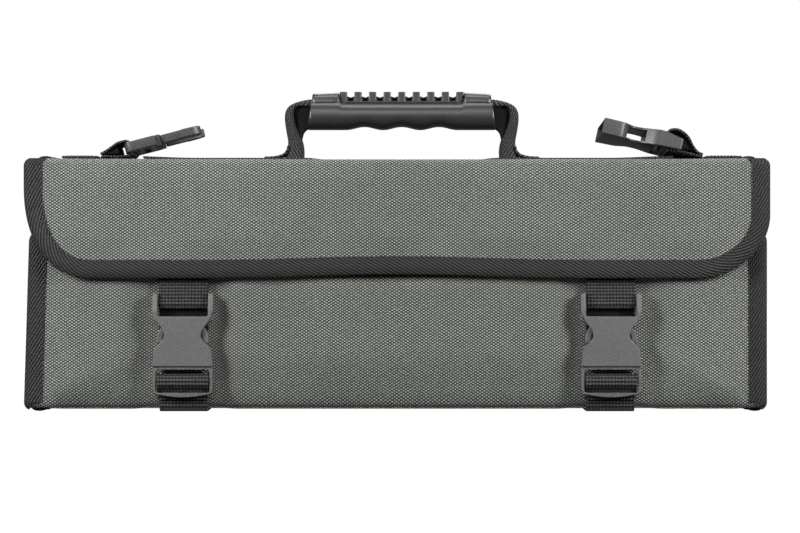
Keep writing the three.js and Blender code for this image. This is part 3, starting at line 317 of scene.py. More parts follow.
def sheet_body(name, outer, inner, uv):
    """A sheet with thickness: the outer face out and the inner face back, closed round its rim.
    Both are grids of the same size, and uv gives each grid point its place on the cloth."""
    rings = np.concatenate([outer, inner[:, ::-1]], axis=1)
    both = np.concatenate([uv, uv[:, ::-1], uv[:, :1]], axis=1)
    return ring_tube(name, rings, both)


def frames_along(path, side):
    """Unit tangent, side and outward vectors at each point of a path; side is one direction
    for the whole path, and outward is square to both."""
    tangent = np.gradient(path, axis=0)
    tangent /= np.linalg.norm(tangent, axis=1)[:, None]
    across = np.broadcast_to(np.asarray(side, float), path.shape)
    across = across - np.einsum("ij,ij->i", across, tangent)[:, None] * tangent
    across = across / np.linalg.norm(across, axis=1)[:, None]
    return tangent, across, np.cross(tangent, across)


def carried_rings(path, side, profile):
    """A profile carried along a path: each ring is the path's point plus profile x times the
    side vector plus profile y times the outward vector."""
    _, across, outward = frames_along(path, side)
    return path[:, None] + profile[:, :1] * across[:, None] + profile[:, 1:] * outward[:, None]


def carry_profile(name, path, side, profile):
    return ring_tube(name, carried_rings(path, side, profile))


def smooth_path(corners, count):
    """A Catmull-Rom curve through the corner points, resampled at even distances."""
    corners = np.asarray(corners, float)
    first, last = 2 * corners[0] - corners[1], 2 * corners[-1] - corners[-2]
    ends = np.concatenate([[first], corners, [last]])
    t = np.linspace(0, 1, 24, endpoint=False)[:, None]
    parts = []
    for a, b, c, d in zip(ends[:-3], ends[1:-2], ends[2:-1], ends[3:]):
        square, cube = 2 * a - 5 * b + 4 * c - d, 3 * b - a - 3 * c + d
        parts.append(0.5 * (2 * b + (c - a) * t + square * t**2 + cube * t**3))
    fine = np.concatenate(parts + [corners[-1:]])
    length = arc_lengths(fine, 0)
    even = np.linspace(0, length[-1], count)
    return np.stack([np.interp(even, length, column) for column in fine.T], -1)


def ribbon_profile(width, thick, count=10):
    """A webbing's cross-section: a flat bar with half-round edges."""
    angle = np.linspace(-math.pi / 2, math.pi / 2, count)
    across = width / 2 - thick / 2 + np.cos(angle) * thick / 2
    right = np.stack([across, np.sin(angle) * thick / 2], -1)
    return np.concatenate([right, -right])


def lay_strap(name, path, side, width=WEBBING, thick=STRAP_DRAWN):
    """Webbing laid along a path; side is the direction of its width."""
    return carry_profile(name, path, side, ribbon_profile(width, thick))


def upright_at(x, course):
    """Depth and height points set in the upright plane at a place across the case."""
    return np.stack([np.full(len(course), x), course[:, 0], course[:, 1]], -1)


def level_at(y, course):
    """Across and height points set in the upright plane at a depth."""
    return np.stack([course[:, 0], np.full(len(course), y), course[:, 1]], -1)


def turn(centre, radius, start, stop, count):
    """Points of an arc in depth and height; degrees are measured from the depth axis."""
    angle = np.radians(np.linspace(start, stop, count))
    return np.stack([centre[0] + radius * np.cos(angle), centre[1] + radius * np.sin(angle)], -1)


def squared(value, power):
    """A sine or cosine changed so that its circle becomes a superellipse of this power."""
    return np.sign(value) * np.abs(value) ** (2 / power)


def smooth(value, low, high):
    """Zero below low, one above high, and a soft S between."""
    t = np.clip((value - low) / (high - low), 0, 1)
    return t * t * (3 - 2 * t)


# Shader effects shared by the materials; lengths in shaders are metres


class Nodes:
    """A short way to add and link nodes in one tree."""

    def __init__(self, tree):
        self.tree = tree

    def add(self, kind, inputs=(), **settings):
        """A node with its settings, and with its inputs linked or set."""
        node = self.tree.nodes.new(kind)
        for key, value in settings.items():
            setattr(node, key, value)
        for socket, value in dict(inputs).items():
            self.put(value, node.inputs[socket])
        return node

    def put(self, value, socket):
        if isinstance(value, bpy.types.NodeSocket):
            self.tree.links.new(value, socket)
        else:
            socket.default_value = value

    def group(self, tree, inputs):
        return self.add("ShaderNodeGroup", inputs, node_tree=tree).outputs

    def math(self, operation, a, b=0.0, c=0.0):
        return self.add("ShaderNodeMath", {0: a, 1: b, 2: c}, operation=operation).outputs[0]

    def wave(self, value, pitch):
        """The cosine of a length measured in pitches."""
        turns = self.math("DIVIDE", value, pitch)
        return self.math("COSINE", self.math("MULTIPLY", turns, 2 * math.pi))

    def noise(self, place, scale, detail):
        node = self.add("ShaderNodeTexNoise", {"Vector": place, "Scale": scale, "Detail": detail})
        return node.outputs["Fac"]

    def mix(self, factor, a, b, blend="MIX"):
        colours = {0: factor, 6: a, 7: b}
        return self.add("ShaderNodeMix", colours, data_type="RGBA", blend_type=blend).outputs[2]

    def band(self, value, low, high):
        """Zero at low and one at high, smooth between."""
        span = {"Value": value, "From Min": low, "From Max": high}
        return self.add("ShaderNodeMapRange", span, interpolation_type="SMOOTHSTEP").outputs[0]

    def bump(self, height, distance, strength):
        inputs = {"Height": height, "Distance": distance, "Strength": strength}
        return self.add("ShaderNodeBump", inputs).outputs[0]

    def cloth_place(self):
        return self.add("ShaderNodeUVMap", uv_map="Cloth").outputs[0]

    def object_place(self):
        return self.add("ShaderNodeTexCoord").outputs["Object"]

    def toned(self, colour, scale, strength):
        """A colour with slow changes of tone over the object."""
        drift = {"Place": self.object_place(), "Scale": scale, "Strength": strength}
        tone = self.group(drift_group(), drift)["Tone"]
        grey = self.add("ShaderNodeCombineColor", {0: tone, 1: tone, 2: tone})
        return self.mix(1.0, colour, grey.outputs[0], "MULTIPLY")

    def shade(self, inputs):
        """The main shader with these inputs, joined to the material's output."""
        shader = self.add("ShaderNodeBsdfPrincipled", inputs)
        self.add("ShaderNodeOutputMaterial", {"Surface": shader.outputs[0]})


def effect_group(name, numbers, results, fill):
    """A shader node group, built once: it takes a place and numbers with their defaults, and
    gives named numbers. fill draws what is between them."""
    if name in bpy.data.node_groups:
        return bpy.data.node_groups[name]
    tree = bpy.data.node_groups.new(name, "ShaderNodeTree")
    sockets = tree.interface
    sockets.new_socket("Place", in_out="INPUT", socket_type="NodeSocketVector")
    for label, default in numbers.items():
        socket = sockets.new_socket(label, in_out="INPUT", socket_type="NodeSocketFloat")
        socket.default_value = default
    for label in results:
        sockets.new_socket(label, in_out="OUTPUT", socket_type="NodeSocketFloat")
    given = tree.nodes.new("NodeGroupInput")
    result = tree.nodes.new("NodeGroupOutput")
    fill(Nodes(tree), given.outputs, result.inputs)
    return tree


def weave_group():
    """Raised yarns in staggered rows. The height is the product of a cosine across the cloth
    and one up it, so its peaks stand in rows that are shifted by half a pitch."""

    def fill(n, given, result):
        place = n.add("ShaderNodeSeparateXYZ", {0: given["Place"]}).outputs
        drift = n.math("MULTIPLY", n.noise(given["Place"], 260.0, 1.0), given["Wobble"])
        across = n.wave(n.math("ADD", place[0], drift), given["Pitch across"])
        up = n.wave(place[1], n.math("MULTIPLY", given["Pitch up"], 2.0))
        grain = n.math("MULTIPLY_ADD", n.noise(given["Place"], 900.0, 2.0), 0.5, -0.25)
        height = n.math("ADD", n.math("MULTIPLY", across, up), grain)
        n.put(n.band(height, -0.15, 0.95), result["Yarn"])
        n.put(height, result["Height"])

    numbers = {"Pitch across": 0.0028, "Pitch up": 0.0018, "Wobble": 0.0003}
    return effect_group("Staggered weave", numbers, ("Yarn", "Height"), fill)


def rib_group():
    """Slanted ribs with short yarns across them: a cosine along one diagonal of the cloth,
    cut into beads by a second cosine along the rib."""

    def fill(n, given, result):
        place = n.add("ShaderNodeSeparateXYZ", {0: given["Place"]}).outputs
        slant = n.math("MULTIPLY_ADD", place[0], given["Slant"], place[1])
        rib = n.wave(slant, given["Rib pitch"])
        bead = n.wave(place[0], given["Bead pitch"])
        grain = n.math("MULTIPLY_ADD", n.noise(given["Place"], 1100.0, 2.0), 0.7, -0.35)
        height = n.math("ADD", n.math("MULTIPLY_ADD", bead, given["Bead share"], rib), grain)
        n.put(n.band(height, -0.4, 1.1), result["Yarn"])
        n.put(height, result["Height"])

    numbers = {"Slant": 1.0, "Rib pitch": 0.0018, "Bead pitch": 0.0012, "Bead share": 0.4}
    return effect_group("Slanted ribs", numbers, ("Yarn", "Height"), fill)


def drift_group():
    """Slow changes of tone over a surface, from two sizes of noise."""

    def fill(n, given, result):
        broad = n.noise(given["Place"], given["Scale"], 2.0)
        small = n.noise(given["Place"], n.math("MULTIPLY", given["Scale"], 9.0), 3.0)
        both = n.math("MULTIPLY_ADD", small, 0.5, broad)
        lift = n.math("MULTIPLY", n.math("SUBTRACT", both, 0.75), given["Strength"])
        n.put(n.math("ADD", lift, 1.0), result["Tone"])

    return effect_group("Tone drift", {"Scale": 12.0, "Strength": 0.3}, ("Tone",), fill)


# Materials


def start_material(name):
    """An empty material, and the nodes to fill it with."""
    material = bpy.data.materials.new(name)
    material.use_nodes = True
    material.node_tree.nodes.clear()
    return material, Nodes(material.node_tree)


def opaque(colour, share=1.0):
    """A colour with its fourth channel, made lighter or darker by a share."""
    return (*(share * c for c in colour), 1.0)


def cover_material():
    """Grey-green woven polyester: light yarns on a dark ground, with slow changes of tone."""
    s, f = sizes(), finish()
    material, n = start_material("Woven cover")
    pitches = {"Pitch across": s.weave_across, "Pitch up": s.weave_up, "Wobble": 0.0003}
    weave = n.group(weave_group(), {"Place": n.cloth_place(), **pitches})
    cloth = n.mix(weave["Yarn"], opaque(f.cover_ground), opaque(f.cover_yarn))
    n.shade({
        "Base Color": n.toned(cloth, 9.0, 0.28),
        "Roughness": n.math("MULTIPLY_ADD", weave["Yarn"], -0.12, 0.82),
        "Normal": n.bump(weave["Height"], 0.0003, 0.55),
        "Specular IOR Level": 0.3,
        "Sheen Weight": 0.05,
    })
    return material


def ribbed_material(name, colour, ground, yarn, ribs, polish, gloss):
    """Ribbed tape or webbing: ground and yarn are shares of its colour, and polish is how much
    smoother its yarns are than its ground."""
    material, n = start_material(name)
    weave = n.group(rib_group(), {"Place": n.cloth_place(), **ribs})
    n.shade({
        "Base Color": n.mix(weave["Yarn"], opaque(colour, ground), opaque(colour, yarn)),
        "Roughness": n.math("MULTIPLY_ADD", weave["Yarn"], -polish, 0.75),
        "Normal": n.bump(weave["Height"], 0.0003, 0.9),
        "Specular IOR Level": gloss,
    })
    return material


def tape_material():
    """Black twill tape with slanted ribs."""
    ribs = {"Slant": -1.7, "Rib pitch": 0.0035, "Bead pitch": 0.0013, "Bead share": 0.3}
    colour = finish().tape_colour
    return ribbed_material("Twill edge tape", colour, 0.15, 2.8, ribs, 0.15, 0.4)


def webbing_material(name="Beaded webbing", pitch=0.00205, share=0.7):
    """Black webbing: a grid of short glossy yarns, which a small share turns into ribs."""
    ribs = {"Slant": 0.0, "Rib pitch": pitch, "Bead pitch": 0.00205, "Bead share": share}
    return ribbed_material(name, finish().webbing_colour, 0.3, 2.7, ribs, 0.2, 0.35)


def lining_and_shade_material():
    """Thin dark lining cloth with a fine plain weave. The same near-black cloth also colours the
    pieces of painted shade: in the handle's bends, inside the tabs' loops, behind the buckles'
    housings and along the grip's groove.
    """
    colour = finish().lining_and_shade_colour
    material, n = start_material("Lining and painted shade cloth")
    pitches = {"Pitch across": 0.0012, "Pitch up": 0.0007, "Wobble": 0.0002}
    weave = n.group(weave_group(), {"Place": n.cloth_place(), **pitches})
    n.shade({
        "Base Color": n.mix(weave["Yarn"], opaque(colour), opaque(colour, 1.8)),
        "Normal": n.bump(weave["Height"], 0.0001, 0.6),
        "Roughness": 0.85,
        "Specular IOR Level": 0.12,
    })
    return material


def moulded_material(name, colour, roughness, grain, speckle, gloss=0.5):
    """Moulded plastic or rubber: grain is the depth of its fine spark-eroded surface, and
    speckle how much lighter and darker its spots are than its colour."""
    material, n = start_material(name)
    fine = n.noise(n.object_place(), 1500.0, 3.0)
    light = tuple(min(1.0, c * (1 + speckle)) for c in colour)
    spots = n.mix(n.band(fine, 0.36, 0.66), opaque(colour, 1 - speckle), opaque(light))
    n.shade({
        "Base Color": n.toned(spots, 30.0, 0.25),
        "Roughness": n.math("MULTIPLY_ADD", fine, 0.2, roughness - 0.1),
        "Normal": n.bump(fine, grain, 0.6),
        "Specular IOR Level": gloss,
    })
    return material


def thread_material():
    """Dark sewing thread."""
    material, n = start_material("Sewing thread")
    fine = n.noise(n.object_place(), 1500.0, 2.0)
    dark, light = (0.008, 0.008, 0.008), (0.03, 0.03, 0.03)
    n.shade({"Base Color": n.mix(fine, opaque(dark), opaque(light)), "Roughness": 0.55})
    return material


def tab_end_material():
    """The shoulder strap's fittings: darker and smoother than the buckles."""
    colour = tuple(0.38 * c for c in finish().buckle_colour)
    return moulded_material("Moulded tab end", colour, 0.42, 0.00008, 0.3, 0.6)


MAKERS = {
    "cover": cover_material,
    "tape": tape_material,
    "webbing": webbing_material,
    "folded": lambda: webbing_material("Folded webbing", 0.0029, 0.2),
    # The lining cloth also dresses the pieces of painted shade.
    "lining": lining_and_shade_material,
    "thread": thread_material,
    "board": lambda: moulded_material("Stiffening board", (0.05, 0.05, 0.05), 0.6, 0.00005, 0.2),
    "buckle": lambda: moulded_material(
        "Moulded buckle", finish().buckle_colour, 0.5, 0.00008, 0.3
    ),
    "tab": tab_end_material,
    "grip": lambda: moulded_material(
        "Moulded grip", finish().grip_colour, 0.40, 0.00006, 0.2, 0.9
    ),
}
made = {}


def material_of(kind):
    """The material of a kind, made when it is first asked for."""
    if kind not in made:
        made[kind] = MAKERS[kind]()
    return made[kind]


def dress(piece, kind):
    """Gives a piece its material."""
    piece.data.materials.clear()
    piece.data.materials.append(material_of(kind))
    return piece


# Shapes shared by the panels

# Places across a panel from -1 to 1, closer together towards its sides
ACROSS = np.sin(np.linspace(-1, 1, 221) * math.pi / 2 * 0.92) / math.sin(math.pi / 2 * 0.92)


def flap_half(z, side):
    """Half the flap's width at a height: straight sides, then a superellipse at each corner."""
    halves = []
    for wide, tall, power in (FLAP_CORNERS[-1], FLAP_CORNERS[1]):
        drop = np.clip((FLAP_LOW[2] + tall - z) / tall, 0, 1)
        halves.append(FLAP_HIGH[0] - wide * (1 - (1 - drop**power) ** (1 / power)))
    return np.where(side < 0, *halves)


def flap_corner_rows(count):
    """Heights over the flap's lower edge that follow its taller corner, close together at its
    foot."""
    _, tall, power = FLAP_CORNERS[-1]
    angle = np.radians(np.linspace(0, 90, count))
    return FLAP_LOW[2] + tall * (1 - np.cos(angle) ** (2 / power))


def front_half(z, side):
    """Half the front's width at a height. Its upper corners are quarter circles; the left side
    widens downwards in a straight line and the right side is upright."""
    corner = FRONT_HIGH[2] - FRONT_CORNER
    rise = np.clip(z - corner, 0, FRONT_CORNER)
    foot = np.clip((corner - z) / (corner - FRONT_LOW[2]), 0, 1)
    drop = np.clip(FRONT_LOW[2] + FOOT_CORNER - z, 0, FOOT_CORNER)
    spread = np.where(side < 0, FRONT_LEAN[0] + FRONT_LEAN[1] * foot, 0.0)
    tuck = FOOT_CORNER - np.sqrt(FOOT_CORNER**2 - drop**2)
    return FRONT_HIGH[0] + spread - FRONT_CORNER + np.sqrt(FRONT_CORNER**2 - rise**2) - tuck


def shoulder(points):
    """Draws the sides in towards the top along a quarter circle; points move along X only."""
    beyond = np.clip((points[..., 2] - FLAP_HIGH[2]) / SHOULDER + 1, 0, 1)
    first, last = (FLAP_HIGH[0] - reach for reach in SHOULDER_REACH)
    near = smooth(np.abs(points[..., 0]), first, last)
    shift = near * SHOULDER * (1 - np.sqrt(1 - 0.96 * beyond**2))
    points[..., 0] -= np.sign(points[..., 0]) * shift
    return points


def top_sag(x):
    """How far the top lies lower: a little over its middle, and more between the handle's
    feet."""
    away = np.abs(x - grip_centre()[0])
    return TOP_SAG * (1 - smooth(away, 130, 172)) + HANDLE_SAG * (1 - smooth(away, 46, 60))


def flap_edge_lift(x):
    """How far the flap's lower edge rises: a cosine with its low points at the buckles."""
    span = FLAP_HIGH[0] - FLAP_CORNERS[1][0]
    fade = np.cos(np.clip(np.abs(x) / span, 0, 1) * math.pi / 2)
    return FLAP_WAVE * fade * (1 + np.cos(math.pi * x / BUCKLE_X)) / 2


def upright_waves(x, z):
    """Soft upright waves of worn cloth: three sines across the panel, 97, 61 and 163 mm long,
    two of them slightly slanted."""
    return (
        np.sin(2 * math.pi * x / 97 + 0.6 + z / 60)
        + 0.6 * np.sin(2 * math.pi * x / 61 + 2.1)
        + 0.5 * np.sin(2 * math.pi * x / 163 + 0.8 - z / 45)
    )


def flap_swell(x, z):
    """How far the flap's cloth stands out: a crown that fades at the tape, and waves."""
    s = sizes()
    side = flap_half(z, x) - np.abs(x)
    low = z - FLAP_LOW[2] - flap_edge_lift(x)
    fade = smooth(side, *FLAP_SIDE_FADE) * smooth(low, *FLAP_FOOT_FADE)
    fade = fade * smooth(FLAP_HIGH[2] - z, *FLAP_TOP_FADE)
    hang = 0.5 + 0.5 * smooth(FLAP_HIGH[2] - z, *FLAP_WAVE_FADE)
    return fade * (s.flap_crown / MM + s.wave_height / MM * upright_waves(x, z) * hang)


def past_buckle(x, span):
    """Zero at the first distance past a buckle's middle and one at the second."""
    return smooth(np.abs(x), BUCKLE_X + span[0], BUCKLE_X + span[1])


def front_swell(x, z):
    """How far the front's cloth stands out: a wide crown between the buckles, a lower one
    outside them, a drawn-in valley beside each buckle, and little room under the flap."""
    s = sizes()
    side = smooth(FRONT_HIGH[0] - np.abs(x), *FRONT_SIDE_FADE)
    near = 1 - past_buckle(x, NEAR_BUCKLE)
    height = smooth(z - FRONT_LOW[2], 0, FRONT_FOOT_FADE[0] + FRONT_FOOT_FADE[1] * near)
    covered = smooth(z, *UNDER_FLAP)
    between, outside = 1 - past_buckle(x, VALLEY_INNER), past_buckle(x, VALLEY_OUTER)
    shares = between * (1 + 0.12 * np.cos(x * math.pi / 60)) + OUTER_CROWN * outside
    crown = s.front_crown / MM * shares
    waves = s.wave_height / MM * upright_waves(x + 40, z) * (between + 0.5 * outside)
    room = UNDER_FLAP_ROOM * smooth(FRONT_HIGH[2] + 4 - z, 8, 40) / (s.front_crown / MM)
    return np.maximum(side * height * (crown + waves) * (1 - covered + covered * room), 0.0)


def back_swell(x, z):
    """How far the back's cloth stands out: one wide crown with slow waves, held flat where the
    straps end."""
    s = sizes()
    side = smooth(CASE_HIGH[0] - np.abs(x), *BACK_SIDE_FADE)
    height = smooth(z - CASE_LOW[2], *BACK_RISE_FADE) * smooth(CASE_HIGH[2] - z, *BACK_RISE_FADE)
    held = 1 - smooth(np.abs(np.abs(x) - BUCKLE_X), *STRAP_HOLD)
    height = height * (1 - held * (1 - smooth(z, *STRAP_HOLD_TOP)))
    return side * height * (s.back_crown / MM + 0.8 * s.wave_height / MM * upright_waves(x - 25, z))


def along_x(half, profile, across):
    """A grid: one copy of a depth and height profile at each place across the case."""
    x = np.broadcast_to((across * half)[:, None], (len(across), len(profile)))
    rows = np.broadcast_to(profile, (len(across),) + profile.shape)
    return np.stack([x, rows[..., 0], rows[..., 1]], -1)


def side_normals(profile):
    """Unit normals of a depth and height profile, a quarter turn to the left of its course."""
    slope = np.gradient(profile, axis=0)
    slope /= np.linalg.norm(slope, axis=1)[:, None]
    return np.stack([-slope[:, 1], slope[:, 0]], -1)


def unrolled(grid, profile):
    """Places on the cloth for a grid: across the case, and along the profile."""
    run = np.broadcast_to(arc_lengths(profile, 0), grid.shape[:2])
    return np.stack([grid[..., 0], run], -1)


# Flap, front, top, back and bottom


def flap_cloth():
    """The flap's outer cloth with its fold over the top. Rows run from the lower edge up the
    face, round a quarter circle and back over the panel; each row is as wide as the outline."""
    low, high = FLAP_LOW, FLAP_HIGH
    corner = flap_corner_rows(32)
    face = np.linspace(corner[-1], high[2] - FLAP_FOLD, 26)[1:]
    z = np.concatenate([corner, face])
    fold = turn((low[1] + FLAP_FOLD, high[2] - FLAP_FOLD), FLAP_FOLD, 180, 90, 12)[1:]
    lip = np.array([[low[1] + FLAP_FOLD + 0.5, high[2]], [CASE_LOW[1], high[2]]])
    profile = np.concatenate([np.stack([np.full(len(z), low[1]), z], -1), fold, lip])
    normal = side_normals(profile)
    outer = along_x(1.0, profile, ACROSS)
    outer[..., 0] *= flap_half(np.minimum(profile[:, 1], high[2])[None], ACROSS[:, None])
    x = outer[..., 0].copy()
    lift = flap_edge_lift(x) * (1 - smooth(outer[..., 2], low[2] + 6, low[2] + 50))
    outer[..., 2] += lift
    swell = flap_swell(x, outer[..., 2]) * (outer[..., 1] < low[1] + 1)
    rim = smooth(outer[..., 2], high[2] - 8, high[2])
    sag = RIM_SAG * rim * np.cos(x / high[0] * math.pi / 2) ** 0.5
    sag = sag + top_sag(x) * smooth(outer[..., 1], low[1] + 2, CASE_LOW[1])
    outer[..., 1] += normal[:, 0] * swell
    outer[..., 2] += normal[:, 1] * swell - sag
    outer = shoulder(outer)
    inner = outer.copy()
    inner[..., 1:] -= normal * COVER
    uv = unrolled(outer, profile)
    uv[..., 1] += lift
    piece = dress(sheet_body("flap_cloth", outer, inner, uv), "cover")
    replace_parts(piece, "flap_cover")
    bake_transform(piece)


def front_cloth():
    """The front panel's outer cloth: up the face from a quarter-circle fold under the case. Its
    lowest part hangs a little lower and rolls in, except at the buckles' straps."""
    low, high = FRONT_LOW, FRONT_HIGH
    centre = (low[1] + FRONT_FOLD, low[2] + FRONT_FOLD)
    fold = turn(centre, FRONT_FOLD, 270, 180, 10)
    lip = np.array([[CASE_FOOT_Y, low[2]]])
    corner = high[2] - FRONT_CORNER
    z = np.concatenate([
        np.linspace(centre[1], corner, 34)[1:],
        corner + FRONT_CORNER * np.sin(np.radians(np.linspace(0, 90, 10)))[1:],
    ])
    profile = np.concatenate([lip, fold, np.stack([np.full(len(z), low[1]), z], -1)])
    normal = side_normals(profile)
    outer = along_x(1.0, profile, ACROSS)
    outer[..., 0] *= front_half(profile[None, :, 1], np.sign(ACROSS)[:, None])
    swell = front_swell(outer[..., 0], outer[..., 2]) * (outer[..., 1] < low[1] + 1)
    outer[..., 1] -= swell
    reach = np.abs(outer[..., 0])
    free = smooth(np.abs(reach - BUCKLE_X), 18, 34) * smooth(high[0] - reach, 4, 22)
    lowest = 1 - smooth(outer[..., 2], low[2] + 1, low[2] + 9)
    outer[..., 2] -= HEM_DROP * free * lowest * smooth(-outer[..., 1], 11.5, 14)
    under = np.clip((low[2] + HEM_HEIGHT - outer[..., 2]) / HEM_HEIGHT, 0, 0.96)
    roll = HEM_ROLL * (1 - np.sqrt(1 - under**2)) * smooth(high[0] - reach, 8, 22)
    outer[..., 1] += roll * smooth(-outer[..., 1], 11.5, 15)
    inner = outer.copy()
    inner[..., 1:] += np.abs(normal) * COVER
    piece = dress(sheet_body("front_cloth", outer, inner, unrolled(outer, profile)), "cover")
    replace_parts(piece, "front_cover")
    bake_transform(piece)


def shell_path(depth):
    """The case's C profile at a depth under its skin: top, round back corners and bottom."""
    radius = max(BACK_CORNER - depth, 1.2)
    back, high, low = CASE_HIGH[1] - depth, CASE_HIGH[2] - depth, CASE_LOW[2] + depth
    return np.concatenate([
        np.stack([np.linspace(CASE_LOW[1], back - radius, 8), np.full(8, high)], -1)[:-1],
        turn((back - radius, high - radius), radius, 90, 0, 10),
        np.stack([np.full(40, back), np.linspace(high - radius, low + radius, 40)], -1)[1:-1],
        turn((back - radius, low + radius), radius, 0, -90, 10),
        np.stack([np.linspace(back - radius, CASE_FOOT_Y, 8), np.full(8, low)], -1)[1:],
    ])


def shell_sheet(name, depth, thick, swell_share):
    """A sheet that follows the case's C profile, with the back's swell on both its faces."""
    outline = shell_path(depth)
    outer = along_x(CASE_HIGH[0], outline, ACROSS)
    inner = along_x(CASE_HIGH[0], shell_path(depth + thick), ACROSS)
    flat_back = smooth(outer[..., 1], CASE_HIGH[1] - depth - 1, CASE_HIGH[1] - depth)
    swell = swell_share * flat_back * back_swell(outer[..., 0], outer[..., 2])
    outer[..., 1] += swell
    inner[..., 1] += swell
    for face in (outer, inner):
        top = smooth(face[..., 2], 140, 154)
        face[..., 2] -= top_sag(face[..., 0]) * top * smooth(CASE_HIGH[1] - face[..., 1], 0, 12)
        shoulder(face)
    return sheet_body(name, outer, inner, unrolled(outer, outline))


def case_cloth():
    """The cloth of the case's top, back and bottom."""
    piece = dress(shell_sheet("case_cloth", 0.0, COVER, 1.0), "cover")
    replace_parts(piece, "case_cover")
    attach(piece, "case")


# Linings and pockets


def case_lining():
    """The lining of the case's top, back and bottom."""
    piece = dress(shell_sheet("case_inside", PANEL - LINING, LINING, 0.0), "lining")
    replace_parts(piece, "case_lining")
    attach(piece, "case")


def panel_lining(name, node, body, half_at, rows, face):
    """A flat lining with the outline of its panel: rows of points as wide as half_at gives."""
    across = np.linspace(-1, 1, 41)
    x = across[:, None] * half_at(rows[None], np.sign(across)[:, None])
    z = np.broadcast_to(rows, x.shape)
    wrinkle = 0.12 * np.sin(x / 9 + z / 13) + 0.1 * np.sin(x / 23 - z / 7)
    inside = np.stack([x, face + wrinkle * 0.5, z], -1)
    hidden = np.stack([x, np.full(x.shape, face - LINING), z], -1)
    piece = dress(sheet_body(name, inside, hidden, np.stack([x, z], -1)), "lining")
    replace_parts(piece, node)
    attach(piece, body)


def flap_lining():
    """The lining inside the flap."""
    high = FLAP_HIGH[2] - COVER - SEAM_GAP
    straight = np.linspace(FLAP_LOW[2] + FLAP_CORNERS[-1][1], high, 12)[1:]
    rows = np.concatenate([flap_corner_rows(18), straight])
    panel_lining("flap_inside", "flap_lining", "flap", flap_half, rows, FLAP_HIGH[1])


def front_lining():
    """The lining inside the front panel."""
    low, high = FRONT_LOW[2] + COVER + SEAM_GAP, FRONT_HIGH[2]
    corner = high - FRONT_CORNER + FRONT_CORNER * np.sin(np.radians(np.linspace(0, 90, 10)))
    rows = np.concatenate([np.linspace(low, high - FRONT_CORNER, 16)[:-1], corner])
    panel_lining("front_inside", "front_lining", "front", front_half, rows, FRONT_HIGH[1])


def hinge_lining():
    """A strip of lining over the seam between the bottom and the front panel, curved round the
    front's fold."""
    bottom = node_box("case_lining")[0][2] + LINING
    front = FRONT_HIGH[1]
    course = np.array([[3.0, 0], [1.6, 0.05], [0.5, 0.8], [0.35, 2.6], [0.35, 4.5]])
    profile = smooth_path(course + [front, bottom], 24)
    outer = along_x(CASE_HIGH[0] - TAPE_BAND + 1.0, profile, np.linspace(-1, 1, 61))
    inner = outer.copy()
    inner[..., 1:] += 0.5 * side_normals(profile)
    piece = dress(sheet_body("hinge_lining", outer, inner, unrolled(outer, profile)), "lining")
    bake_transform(piece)


def pocket_cloth(name, node, swell, power, gather):
    """A cloth sewn to the lining along four level rows: between two seams it stands out as the
    sine of the height to a power, with small gathers where it is elastic."""
    low, high = node_box(node)
    back, pitch = high[1], POCKET_PITCH
    x = np.linspace(low[0], high[0], 61)
    z = low[2] + np.linspace(0, 3 * pitch, 97)
    grid_x, grid_z = np.meshgrid(x, z, indexing="ij")
    arch = np.abs(np.sin(math.pi * (grid_z - low[2]) / pitch)) ** power
    ripple = gather * arch * np.sin(grid_x * 2 * math.pi / 3.2 + np.sin(grid_z / 3))
    depth = 0.7 + swell * arch + ripple
    outer = np.stack([grid_x, back - depth - 0.5, grid_z], -1)
    inner = np.stack([grid_x, back - depth + 0.5, grid_z], -1)
    uv = np.stack([grid_x, arc_lengths(outer, 1)], -1)
    piece = dress(sheet_body(name, outer, inner, uv), "lining")
    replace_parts(piece, node)
    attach(piece, "case")
    for i, inwards in enumerate((1.0, 1.0, 1.0, -1.0)):
        height = np.full(len(x), low[2] + i * pitch + inwards)
        seam = level_at(back - 1.3, np.stack([x, height], -1))
        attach(stitch_row(f"{name}_seam_{i + 1}", seam, ALONG_Y, (-1, 0)), "case")


def knife_pockets():
    """The flat pockets for blades."""
    pocket_cloth("blade_pockets", "knife_sleeves", 5.4, 0.45, 0.0)


def handle_bands():
    """The elastic loops for handles, which stand out farther and are gathered."""
    pocket_cloth("handle_bands", "handle_elastic", 11.0, 0.6, 0.35)


# Edge tape and its stitching


def tape_section():
    """The tape's U-shaped section as inward distance and depth: round over the panel's edge,
    its flat legs pressed down at their sewn edges. The second half returns inside."""
    band = TAPE_BAND - TAPE_REACH
    leg = [[band, -0.55], [band - 0.6, -0.8], [band - 2.4, -0.95], [band - 4, -1.45],
           [4, -1.75], [1.6, -1.6], [0.2, -1.2]]
    edge = [[-0.8, -0.6], [-1.2, 0.4], [-1.3, PANEL / 2]]
    slot = [[band, -0.22], [band - 0.6, -0.25], [band - 2.2, -0.25], [band - 4, -0.3],
            [4, -0.3], [1.6, -0.3], [0.4, -0.3]]
    inside = [[-0.15, -0.1], [-0.3, 0.5], [-0.3, PANEL / 2]]
    faces = []
    for half in (leg + edge, slot + inside):
        half = np.array(half)
        mirrored = (half * [1, -1] + [0, PANEL])[::-1]
        faces.append(np.concatenate([half, mirrored[1:]]))
    outer, inner = faces
    return np.concatenate([outer, inner[::-1]])


